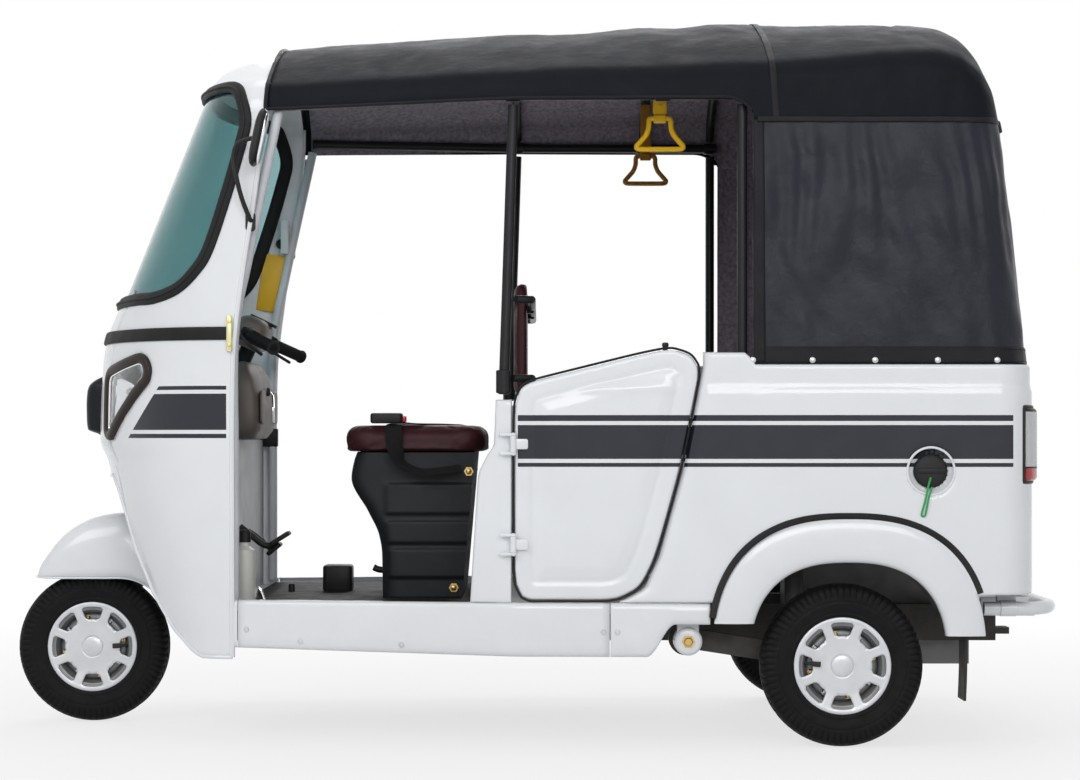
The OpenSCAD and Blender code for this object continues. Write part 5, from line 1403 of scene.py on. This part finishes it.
def tread_cut(k, r, w):
    """Depth share of the tread's cuts at step k: bars at the shoulder and short cuts in the middle."""
    if k % 4 == 3 and r > 168 and abs(w) > 24:
        return min(1.0, (r - 166) / 9)
    return 0.8 if k % 12 in (5, 6) and r > 200 and 5.6 < abs(w) < 17 else 0.0


def tyre_shape():
    section = TYRE + [(r, -w) for r, w in TYRE[-2::-1]]
    rows = []
    for k in range(TREAD_STEPS):
        a = 2 * math.pi * k / TREAD_STEPS
        row = []
        for r, w in section:
            cut = tread_cut(k, r, w)
            reach = r - TREAD_DEPTH * cut
            width = w - math.copysign(TREAD_IN * cut * (r < 200), w)
            row.append((reach * math.cos(a), reach * math.sin(a), width))
        rows.append(row)
    return grid(rows, True)


def spoke_half(r):
    """Half width of a spoke at a radius, wider where the window's corners are round."""
    end = max(0.0, min(r - WINDOW_IN, WINDOW_OUT - r))
    return SPOKE_HALF + WINDOW_ROUND * (1 - quarter(end / WINDOW_ROUND))


def hubcap_shape():
    """A polar sheet whose lines follow the spokes, with the windows left out."""
    radii = np.concatenate([
        np.linspace(26, WINDOW_IN, 8)[:-1], np.linspace(WINDOW_IN, WINDOW_OUT, 13)[:-1],
        [110, 111, 113, 116, 119, 121.5, 123, 123]])
    pitch = 2 * math.pi / WINDOWS
    rows = []
    for n, r in enumerate(radii):
        spoke = spoke_half(r) / max(r, WINDOW_IN)
        row = []
        for k in range(WINDOWS * PER_WINDOW):
            t = (k % PER_WINDOW) / PER_WINDOW
            a = np.interp(t, [0, 0.25, 0.75, 1], [0, spoke, pitch - spoke, pitch])
            a += pitch * (k // PER_WINDOW)
            z = float(np.interp(r, CAP_RADII, CAP_HEIGHTS))
            z -= 1.6 * (0.2 < t < 0.3 or 0.7 < t < 0.8) * (WINDOW_IN - 2 < r < WINDOW_OUT + 2)
            if n == len(radii) - 1:
                z = CAP_SKIRT_Z
            row.append((r * math.cos(a), r * math.sin(a), z))
        rows.append(row)

    def solid(c):
        r, a = math.hypot(c[0], c[1]), math.atan2(c[1], c[0]) % pitch
        return not (WINDOW_IN < r < WINDOW_OUT and abs(a - pitch / 2) < pitch / 2 - spoke_half(r) / r)

    return grid(rows, False, True, keep=solid)


def build_wheel(name, center, turn, valve_at):
    """Tyre, rim with nuts, hub cap with windows, centre cap and valve."""
    body = name + "_wheel"
    at = place(*center, rx=turn)
    tyre = Form().add(tyre_shape(), 0, at)
    make(body + "_tyre", tyre, body, tyre_rubber, [name + "_tyre"], angle=40)
    rim = Form()
    loop = RIM + [(r, -z) for r, z in RIM[::-1]]
    loop += [(r - 4, -z) for r, z in RIM[2:]] + [(r - 4, z) for r, z in RIM[2:][::-1]]
    rim.add(lathe(loop + loop[:1], 72), 0, at)
    rim.add(lathe(RIM_DISC, 60), 0, at)
    for k in range(8):
        a = math.radians(45 * k + 12)
        rim.add(lathe(WHEEL_NUT, 6), 1 + k % 2, at @ place(80 * math.cos(a), 80 * math.sin(a), 20))
    rim.add(lathe([(0, -44), (30, -44), (34, -40), (34, -6), (40, 4), (60, 8)], 36), 3, at)
    make(body + "_rim", rim, body, [rim_grey, brass, steel, steel_black], [name + "_rim"])
    cap = Form().add(hubcap_shape(), 0, at @ place(rz=22.5))
    make(body + "_hubcap", cap, body, silver, thick=2.6, angle=45)
    dome = lathe([(0, 45.5), (14, 45.2), (24, 44), (27, 42.6), (28.4, 40), (28.4, 36)], 48)
    make(body + "_cap", Form().add(dome, 0, at), body, silver)
    valve, spin = Form(), at @ place(rz=valve_at)
    for line, r, n in VALVE:
        valve.add(tube([spin @ Vector((x, 0, z)) for x, z in line], r, n, 4))
    make(body + "_valve", valve, body, rubber)


# Mudguard: crown in wheel radii about the axle, foot in millimetres


CROWN_LINE = [
    (-0.752, 0.962), (-0.655, 1.165), (-0.388, 1.495), (-0.058, 1.694), (0.272, 1.772), (0.471, 1.762),
    (0.728, 1.650), (0.870, 1.400), (0.936, 1.050), (0.940, 0.760)]
FOOT_LINE = [
    (-1336, 399), (-1318, 398), (-1270, 397), (-1200, 397), (-1140, 397), (-1095, 397), (-1062, 392),
    (-1030, 378), (-1005, 362), (-987, 352)]
GUARD_HALF, GUARD_NOSE, GUARD_POWER = 76, 0.34, 2 / 2.7


def build_mudguard():
    crown = through([(FRONT_AXLE_X + x * WHEEL_R, 0, WHEEL_R + z * WHEEL_R) for x, z in CROWN_LINE], 10)
    foot = through([(x, 0, z) for x, z in FOOT_LINE], 10)
    rows = []
    for i, (low, high) in enumerate(zip(foot, crown)):
        wide = GUARD_HALF * quarter(i / (len(crown) - 1) / GUARD_NOSE) + 0.4
        row = []
        for v in np.linspace(0, math.pi, 41):
            y = math.copysign(abs(math.cos(v)) ** GUARD_POWER, math.cos(v)) * wide
            row.append(low + (high - low) * abs(math.sin(v)) ** GUARD_POWER + (0, y, 0))
        rows.append(row)
    guard = Form().add(grid(rows))
    make("mudguard", guard, "steering", white, ["front_fender"], thick=3, angle=60)
    lip = evenly_open(np.array([r[0] for r in rows[::-1]] + [r[-1] for r in rows]) + (0, 0, -1), 170)
    lip = sweep(lip, ring(5.0, 10, 2.6, 0.8), False, (0, 0, 1))
    make("mudguard_lip", Form().add(lip), "steering", white)


build_wheel("front", (FRONT_AXLE_X, 0, WHEEL_R), 90, 2)
build_wheel("rear_left", (REAR_AXLE_X, -REAR_WHEEL_Y, WHEEL_R), 90, 176)
build_wheel("rear_right", (REAR_AXLE_X, REAR_WHEEL_Y, WHEEL_R), -90, 176)
build_mudguard()


# Mirrors


MIRROR_AT = place(-665, -590, 1540, ry=12)
MIRROR_ARM = [
    (-688, -527, 1335), (-692, -538, 1342), (-712, -556, 1400), (-728, -565, 1480), (-722, -570, 1520),
    (-700, -578, 1534), (-672, -588, 1540)]


def build_mirrors():
    arm = Form()
    arm.add(tube(MIRROR_ARM, 6, 12, 8), 0, twin=True)
    arm.add(plate(rounded(26, 50, 10), 0, 6, 2), 0, place(-690, -522, 1332, rx=90), twin=True)
    rows = []
    for v in np.linspace(-math.pi / 2, math.pi / 2, 15):
        depth, size = 13 * math.sin(v), math.cos(v) ** 0.45
        rows.append([(depth + 2, y * size, z * size) for y, z in rounded(94, 148, 34, 8)])
    arm.add(grid(rows, False, True), 0, MIRROR_AT, twin=True)
    face = plate(rounded(82, 134, 30, 8), 0, 2, 1)
    arm.add(face, 1, MIRROR_AT @ place(13.2, 0, 0, ry=90) @ place(rz=90), twin=True)
    make("mirror_units", arm, "chassis", [plastic, mirror_glass], ["mirrors"], angle=40)


build_mirrors()


# Seats: pads are blown up as cloth and kept near their solids


CLOTH_FRAMES, PILLOW = 20, 260
BENCH_SEAMS, BACK_SEAMS = [-167, 167], [800, 980]
SEAT_HALF, SEAT_RELIEF, SEAT_CORNER, SEAT_Z0, SEAT_H = 250, 7, 42, 348, 394
SEAT_FRONT = np.array([
    (348, -378), (470, -380), (519, -388), (580, -416), (672, -462), (720, -454), (742, -446)])
SEAT_FIELDS = ((402, 488), (494, 562), (572, 662))
LAP_BELT = [
    (-158, 140, 813), (-200, 50, 814), (-260, -60, 814), (-330, -180, 814), (-340, -246, 810),
    (-338, -273, 792), (-334, -277, 750), (-318, -277, 712), (-270, -277, 690), (-215, -275, 692),
    (-160, -268, 700)]
BUCKLE_BELT = [(-172, -128, 813), (-215, -152, 815), (-270, -190, 816), (-330, -200, 822)]


def applied(obj):
    view = bpy.context.evaluated_depsgraph_get()
    return bpy.data.meshes.new_from_object(obj.evaluated_get(view))


def points_of(mesh):
    flat = np.empty(len(mesh.vertices) * 3)
    mesh.vertices.foreach_get("co", flat)
    return flat.reshape(-1, 3)


def blow_up(mesh, held, cap):
    """A run of Cloth with pressure; held(points in mm) gives how firmly each point stays."""
    obj = link_object("cloth_work", mesh)
    start = points_of(mesh)
    group = obj.vertex_groups.new(name="held")
    for i, w in enumerate(held(start / MM)):
        if w > 0:
            group.add([i], float(w), "REPLACE")
    cloth = obj.modifiers.new("cloth", "CLOTH")
    s = cloth.settings
    s.quality, s.mass, s.bending_stiffness = 4, 0.3, 0.5
    s.tension_stiffness = s.compression_stiffness = 15
    s.use_pressure, s.uniform_pressure_force, s.vertex_group_mass = True, 4.0, group.name
    s.effector_weights.gravity = 0
    cloth.collision_settings.use_collision = False
    cloth.point_cache.frame_start, cloth.point_cache.frame_end = 1, CLOTH_FRAMES
    for step in range(1, CLOTH_FRAMES + 1):
        bpy.context.scene.frame_set(step)
    done = applied(obj)
    move = points_of(done) - start
    far = np.linalg.norm(move, axis=1, keepdims=True)
    move *= np.minimum(1.0, cap * MM / np.maximum(far, 1e-9))
    done.vertices.foreach_set("co", (start + move).ravel())
    bpy.data.objects.remove(obj)
    bpy.context.scene.frame_set(1)
    return done


def pad(name, node, rows, held, cap, voxel):
    """A stuffed piece from closed loops of points, soft where the cloth isn't held."""
    mesh = bpy.data.meshes.new(name)
    form = Form().add(grid(rows, False, True))
    mesh.from_pydata((np.array(form.points) * MM).tolist(), [], form.faces)
    work = link_object(name + "_work", mesh)
    m = work.modifiers.new("voxel", "REMESH")
    m.mode, m.voxel_size = "VOXEL", voxel * MM
    mesh = applied(work)
    bpy.data.objects.remove(work)
    mesh = blow_up(mesh, held, cap)
    mesh.materials.clear()
    mesh.materials.append(maroon)
    mesh.shade_smooth()
    obj = link_object(name, mesh)
    m = obj.modifiers.new("smooth", "SMOOTH")
    m.factor, m.iterations = 0.5, 2
    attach(obj, "chassis")
    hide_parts(node)


def cushion_rows(a, b, r, corner):
    """Closed pillow between two corners of a box, with edges of radius r and upright corners."""
    (x0, y0, z0), (x1, y1, z1) = a, b
    outline = evenly(rounded(x1 - x0, y1 - y0, corner, 8), 120)
    middle = np.array(((x0 + x1) / 2, (y0 + y1) / 2))
    turns = np.linspace(0, 1, 7) * math.pi / 2
    stops = [(0.0, z0), (0.8, z0)]
    stops += [(1 - r / PILLOW * (1 - math.sin(t)), z0 + r * (1 - math.cos(t))) for t in turns]
    stops += [(1 - r / PILLOW * (1 - math.cos(t)), z1 - r + r * math.sin(t)) for t in turns]
    stops += [(0.8, z1), (0.0, z1)]
    return [[(*(middle + s * p), z) for p in outline] for s, z in stops]


def upright(rows):
    """A pillow's rows stood up: its height becomes x and its length z."""
    return [[(z, y, x) for x, y, z in row] for row in rows]


def near(values, stops, width):
    """1 on the stops and 0 further off than width."""
    return np.max([np.clip(1 - np.abs(values - s) / width, 0, 1) for s in stops], axis=0)


def hold_driver_pad(p):
    return np.maximum(near(p[:, 2], [743], 8), 0.3 * near(p[:, 2], [774], 5))


def hold_driver_back(p):
    return np.maximum(near(p[:, 0], [15], 5), 0.5 * near(p[:, 0], [0], 4))


def hold_bench_pad(p):
    return np.maximum(near(p[:, 2], [614], 12), near(p[:, 1], BENCH_SEAMS, 7) * (p[:, 2] > 690))


def hold_bench_back(p):
    seams = np.maximum(near(p[:, 1], BENCH_SEAMS, 7), near(p[:, 2], BACK_SEAMS, 7))
    return np.maximum(near(p[:, 0], [1029], 10), seams * (p[:, 0] < 965))


def build_pads():
    rows = cushion_rows((-477, -265, 743), (-88, 265, 804), 26, 70)
    pad("driver_pad", "driver_cushion", rows, hold_driver_pad, 9, 6.0)
    rows = upright(cushion_rows((889, -296, -15), (1192, 296, 15), 14, 46))
    pad("driver_back", "driver_backrest", rows, hold_driver_back, 5, 5.0)
    rows = cushion_rows((468, -500, 614), (926, 500, 722), 30, 50)
    pad("bench_pad", "bench_cushion", rows, hold_bench_pad, 16, 8.0)
    rows = upright(cushion_rows((616, -500, 938), (1154, 500, 1029), 28, 50))
    pad("bench_back", "bench_backrest", rows, hold_bench_back, 14, 8.0)


def seat_loop(z, front):
    """Level outline of the driver's seat box at a height, with fields pressed out of its sides."""
    x0, x1, r = float(front(z)) + 6, -158 + (z - SEAT_Z0) / SEAT_H * 34, SEAT_CORNER
    field = max(soft_step((z - low) / 9) * soft_step((high - z) / 9) for low, high in SEAT_FIELDS)
    tip = 6 * (z < 350 or z > 741)
    side = [(x, tip - SEAT_HALF) for x in np.linspace(x1, x0 + r, 44)]
    for a in np.linspace(0, math.pi / 2, 10)[1:]:
        side.append((x0 + r - r * math.sin(a), tip - SEAT_HALF + r - r * math.cos(a)))
    half = []
    for x, y in side:
        push = SEAT_RELIEF * field * soft_step((x + 372) / 20) if y < SEAT_RELIEF - SEAT_HALF else 0
        half.append((x, max(-SEAT_HALF, y - push + SEAT_RELIEF), z))
    return half + [(x, -y, z) for x, y, z in half[::-1]]


def build_seat_box():
    base = Form()
    front = hermite(SEAT_FRONT[:, 0], SEAT_FRONT[:, 1])
    heights = np.concatenate([[348.4, 352], np.linspace(358, 736, 96), [740, 742]])
    base.add(grid([seat_loop(z, front) for z in heights], False, True), 0)
    for x, z in ((-140, 690), (-180, 380)):
        bolt = lathe([(0, 8), (6, 8), (8, 6), (8, 0), (13, 0), (13, -3)], 6)
        base.add(bolt, 1, place(x, -246, z, rx=90), twin=True)
    base.add(slab((-438, -228, 700), (-412, -196, 722), 4), 2)
    base.add(tube([(-366, -120, 420), (-388, -120, 422), (-402, -120, 428)], 9, 10, 4), 2)
    make("seat_box", base, "chassis", [seat_black, brass, plastic], ["driver_seat_base"],
         angle=60)


def build_seat_belt():
    belt, strap = Form(), ring(23, 12, 1.6, 0.5)
    belt.add(sweep(through(LAP_BELT, 8), strap, False, (0, -0.4, 1)), 0)
    belt.add(sweep(through(BUCKLE_BELT, 8), strap, False, (0, 0, 1)), 0)
    belt.add(slab((-404, -232, 818), (-318, -176, 846), 6), 1)
    belt.add(slab((-319, -226, 822), (-308, -182, 838), 3), 2)
    make("seat_belt", belt, "chassis", [webbing, plastic, red])


build_pads()
build_seat_box()
build_seat_belt()


# Cab: floor mat, pedals, bottle, labels, console, headset, handlebar


MAT_Z, MAT_RIB, MAT_PITCH = 350.5, 2.4, 7.5
BOTTLE_AT = place(-728, -330, 349)
CONSOLE = [
    (-756, 774, 14, 60), (-744, 778, 30, 150), (-738, 800, 38, 205), (-737, 850, 40, 222),
    (-739, 900, 38, 224), (-744, 940, 33, 212), (-750, 966, 26, 190), (-756, 982, 18, 150),
    (-762, 988, 8, 90)]
HEADSET = [
    (-10, -11, 40, 84), (-8, 2, 50, 100), (-8, 30, 51, 104), (-8, 52, 48, 100), (-6, 66, 40, 90),
    (-4, 74, 28, 74), (-2, 77, 12, 50)]
HEADSET_AT = place(-750.9, 0, 1036, ry=25)
BAR_HALF, BAR_UP = 380, 25
BAR = ((0, 0.0), (0, 0.2), (0, 0.40), (0.07, 0.68), (0.17, 0.84), (0.275, 1.0))
GRIP_START, GRIP_STEPS, GRIP_R, GRIP_RIB, COLLAR_R = 0.60, 90, 15.6, 1.1, 19


def loft(levels, power, n):
    """Skin over superellipse sections of (centre x, z, half x, half y)."""
    unit = ring(1, n, 1, 2 / power)
    return grid([[(x + px * a, py * b, z) for px, py in unit] for x, z, a, b in levels], False, True)


def mat_height(y):
    wave = math.cos(y / MAT_PITCH)
    return MAT_Z + MAT_RIB * (0.5 + 0.5 * math.copysign(abs(wave) ** 0.6, wave))


def build_floor_mat():
    rows = []
    for x in np.linspace(-732, -130, 12):
        half = plan_half(x) - 40
        rows.append([(x, y, mat_height(y)) for y in np.linspace(-half, half, 420)])
    make("floor_mat", Form().add(grid(rows)), "chassis", mat, thick=2, angle=80)


def build_pedals():
    trim = Form()
    trim.add(slab((-556, 60, 349), (-474, 140, 424), 8), 0)
    trim.add(lathe([(0, 24), (7, 24), (9, 20), (9, 0)], 16), 0, place(-640, 40, 350))
    brake = [(-762, -150, 540), (-730, -150, 515), (-700, -150, 492), (-676, -150, 488), (-660, -150, 500)]
    trim.add(tube(brake, 9, 10, 8), 0)
    trim.add(slab((-30, -34, -6), (30, 34, 6), 4), 0, place(-652, -150, 508, ry=-32))
    trim.add(tube([(-764, 60, 520), (-735, 60, 500), (-700, 60, 470)], 8, 10, 8), 0)
    trim.add(slab((-24, -30, -6), (24, 30, 6), 4), 0, place(-690, 60, 470, ry=-40))
    make("pedals", trim, "chassis", [plastic], angle=40)


def build_bottle():
    bottle = Form()
    wall = lathe([(0, 0), (26, 0), (30, 5), (30, 120), (26, 136), (14, 146), (14, 158)], 32)
    bottle.add(wall, 0, BOTTLE_AT)
    bottle.add(lathe([(14, 156), (17, 156), (17, 184), (14, 188), (0, 188)], 20), 1, BOTTLE_AT)
    bottle.add(tube([(-700, -330, 352), (-690, -330, 384), (-676, -330, 352)], 5, 10, 6), 2)
    make("washer_bottle", bottle, "chassis", [bottle_white, plastic, chrome])


def build_labels():
    """Blank notice, round button and socket on the far pillar, and the zinc plate at the cowl's edge."""
    sign = Form()
    sign.add(slab((-36, -1.5, -84), (36, 1.5, 84), 1), 0, place(-742, 497, 1236, ry=9))
    sign.add(lathe([(0, 10), (12, 9), (14, 4), (14, 0)], 24), 1, place(-718, 498, 1352, rx=90))
    sign.add(slab((-775, 460, 752), (-723, 489, 806), 4), 1)
    sign.add(slab((-751, -538, 1000), (-736, -524, 1092), 3), 2)
    for z in (1016, 1076):
        sign.add(lathe([(0, 4), (4, 3.4), (5, 0)], 6), 3, place(-743, -538, z, rx=90))
    make("cab_labels", sign, "chassis", [label, plastic, zinc, brass])


def build_console():
    """Console with two pocket lids, and the key with its tag."""
    box = Form().add(loft(CONSOLE, 4.0, 64), 0)
    for y in (-150, 150):
        box.add(plate(rounded(90, 110, 20), 0, 5, 2.5), 0, place(-701, y, 862, ry=90))
    box.add(lathe([(0, 9), (9, 9), (12, 5), (12, 0)], 20), 1, place(-700, -40, 905, ry=90))
    box.add(tube([(-690, -40, 905), (-682, -40, 892), (-680, -44, 862)], 2, 8, 6), 2)
    box.add(slab((-686, -52, 820), (-680, -36, 866), 2), 2)
    make("console_body", box, "chassis", [console, plastic, chrome], ["dash_console"],
         angle=50)


def build_headset():
    """Cover round the handlebar's middle, with a dial under glass."""
    head = Form().add(loft(HEADSET, 3.4, 56), 0, HEADSET_AT)
    dial = HEADSET_AT @ place(6, 0, 76)
    head.add(lathe([(0, 3), (30, 2.6), (36, 4), (40, 3), (41, -6)], 40), 1, dial)
    head.add(lathe([(0, 4.4), (32, 4.2), (33, 2)], 40), 2, dial)
    make("headset_shell", head, "steering", [console, plastic, clear], ["headset_cover"],
         angle=50)


def grip_rows(path):
    """Ribbed grip with a collar at each end."""
    across, rise = frames(path)
    turns = np.linspace(0, 2 * math.pi, 20, endpoint=False)
    rows = []
    for i, p in enumerate(path):
        r = COLLAR_R if i < 3 or i > GRIP_STEPS - 4 else GRIP_R + GRIP_RIB * (i % 3 == 0)
        rows.append([p + r * (math.cos(a) * across[i] + math.sin(a) * rise[i]) for a in turns])
    return rows


def build_handlebar():
    bar = Form()
    for side in (-1, 1):
        line = [HEADSET_AT @ Vector((x * BAR_HALF, side * y * BAR_HALF, BAR_UP)) for x, y in BAR]
        smooth = through(line, 12)
        bar.add(sweep(smooth, ring(11, 14), False, (0, 0, 1)), 0)
        grip = evenly_open(smooth[int(len(smooth) * GRIP_START):], GRIP_STEPS)
        rows = grip_rows(grip)
        bar.add(grid(rows, False, True), 1)
        end = [[grip[-1] + f * (q - grip[-1]) for q in rows[-1]] for f in (1, 0.6, 0.01)]
        bar.add(grid(end, False, True), 1)
        pod = grip[0] - (grip[3] - grip[0]) * 6
        pod_at = place(*pod, rz=side * 30, ry=25)
        bar.add(slab((-22, -20, -17), (22, 20, 19), 6), 1, pod_at)
        bar.add(slab((16, -8, -6), (27, 8, 6), 3), 2, pod_at)
        lever = [pod + (-8, 0, 4), pod + (-20, side * 24, 2)]
        lever += [grip[40] + (-30, side * 8, -10), grip[80] + (-26, side * 4, -20)]
        bar.add(tube(lever, 4.5, 10, 8), 3)
    make("bar_and_grips", bar, "steering", [tube_black, rubber, red, plastic], ["handlebar"],
         angle=45)


build_floor_mat()
build_pedals()
build_bottle()
build_labels()
build_console()
build_headset()
build_handlebar()


# Materials of the solids that stay


KEPT = {
    "chassis_frame": steel_black, "steering_post": steel_black, "tow_tongue": steel_black,
    "floor_pan": inner_grey, "engine_block": cast, "exhaust": steel, "trailing_arms": steel_black,
    "half_shafts": steel, "rear_shocks": steel_black, "bench_base": plastic, "steering_column": steel_black}
KEPT_EDGE, KEPT_ANGLE = 1.5 * MM, math.radians(40)
for node, material in KEPT.items():
    solid = bpy.data.objects[node]
    solid.data.materials.clear()
    solid.data.materials.append(material)
    edge = solid.modifiers.new("edge", "BEVEL")
    edge.width, edge.segments, edge.limit_method, edge.angle_limit = KEPT_EDGE, 2, "ANGLE", KEPT_ANGLE


# Stage, in metres: floor, world, lamps, camera


FLOOR = [(-40, -12, 0), (40, -12, 0), (40, 60, 0), (-40, 60, 0)]
FLOOR_GREY, FLOOR_ROUGH, FLOOR_WHITE, FLOOR_NEAR, FLOOR_FAR = 0.80, 0.7, 0.72, 1.6, 4.0
WORLD_LIGHT = 0.34
LAMPS = [
    ("key", (-3.5, -4.5, 4.6), (3.2, 2.2), 100), ("front", (0.8, -7.6, 3.2), (5.0, 2.0), 172),
    ("top", (0.3, 0.6, 5.2), (4.5, 3.5), 78), ("back", (0.5, 5.0, 3.5), (4.0, 2.0), 70)]
LAMP_AIM = Vector((0, 0, 0.9))
CAMERA_AT, SENSOR, CLIP_END = (0.05, -7.0, 0.787), 36, 200
PHOTO_WIDTH, PHOTO_FOCUS, PHOTO_SHIFT = 1080, 2533, 45


def build_floor():
    """Pale floor that is white to the eye and fades to grey under the object, where its shadow shows."""
    mesh = bpy.data.meshes.new("floor")
    mesh.from_pydata(FLOOR, [], [(0, 1, 2, 3)])
    n = Nodes("pale_floor")
    n.shader.inputs["Base Color"].default_value = (FLOOR_GREY, FLOOR_GREY, FLOOR_GREY, 1)
    n.shader.inputs["Roughness"].default_value = FLOOR_ROUGH
    path = n.new("LightPath").outputs
    seen = n.math("MAXIMUM", path["Is Camera Ray"], path["Is Glossy Ray"])
    seen = n.math("MAXIMUM", seen, path["Is Transmission Ray"])
    reach = n.new("VectorMath", operation="LENGTH")
    n.link(n.object, reach.inputs[0])
    fade = n.ranged(reach.outputs["Value"], FLOOR_WHITE, 1.0, FLOOR_NEAR, FLOOR_FAR)
    blend = n.new("MixShader")
    n.link(n.math("MULTIPLY", seen, fade), blend.inputs[0])
    n.link(n.shader.outputs[0], blend.inputs[1])
    n.link(n.new("Emission").outputs[0], blend.inputs[2])
    n.link(blend.outputs[0], n.tree.nodes["Material Output"].inputs[0])
    mesh.materials.append(n.material)
    link_object("floor", mesh)


def build_world():
    """White to the eye, in metal and through glass, and a soft light on everything else."""
    world = bpy.data.worlds.new("studio")
    bpy.context.scene.world = world
    world.use_nodes = True
    nodes, links = world.node_tree.nodes, world.node_tree.links
    path = nodes.new("ShaderNodeLightPath").outputs
    either, seen = nodes.new("ShaderNodeMath"), nodes.new("ShaderNodeMath")
    either.operation = seen.operation = "MAXIMUM"
    links.new(path["Is Camera Ray"], either.inputs[0])
    links.new(path["Is Glossy Ray"], either.inputs[1])
    links.new(either.outputs[0], seen.inputs[0])
    links.new(path["Is Transmission Ray"], seen.inputs[1])
    level = nodes.new("ShaderNodeMapRange")
    level.inputs["To Min"].default_value, level.inputs["To Max"].default_value = WORLD_LIGHT, 1.0
    links.new(seen.outputs[0], level.inputs["Value"])
    links.new(level.outputs[0], nodes["Background"].inputs["Strength"])
    nodes["Background"].inputs["Color"].default_value = (1, 1, 1, 1)


def build_lights():
    for name, at, size, power in LAMPS:
        light = bpy.data.lights.new(name, "AREA")
        light.shape, light.size, light.size_y, light.energy = "RECTANGLE", *size, power
        lamp = link_object(name, light)
        lamp.location = at
        lamp.rotation_euler = (LAMP_AIM - Vector(at)).to_track_quat("-Z", "Y").to_euler()


def build_camera():
    """The photograph's view: focal length and shift come from its width, focus and shift in pixels."""
    camera = link_object("camera", bpy.data.cameras.new("camera"))
    camera.location = CAMERA_AT
    camera.rotation_euler = (math.pi / 2, 0, 0)
    camera.data.sensor_width, camera.data.lens = SENSOR, SENSOR * PHOTO_FOCUS / PHOTO_WIDTH
    camera.data.shift_y = PHOTO_SHIFT / PHOTO_WIDTH
    camera.data.clip_end = CLIP_END
    bpy.context.scene.camera = camera
    bpy.context.scene.view_settings.view_transform = "Standard"


build_floor()
build_world()
build_lights()
build_camera()
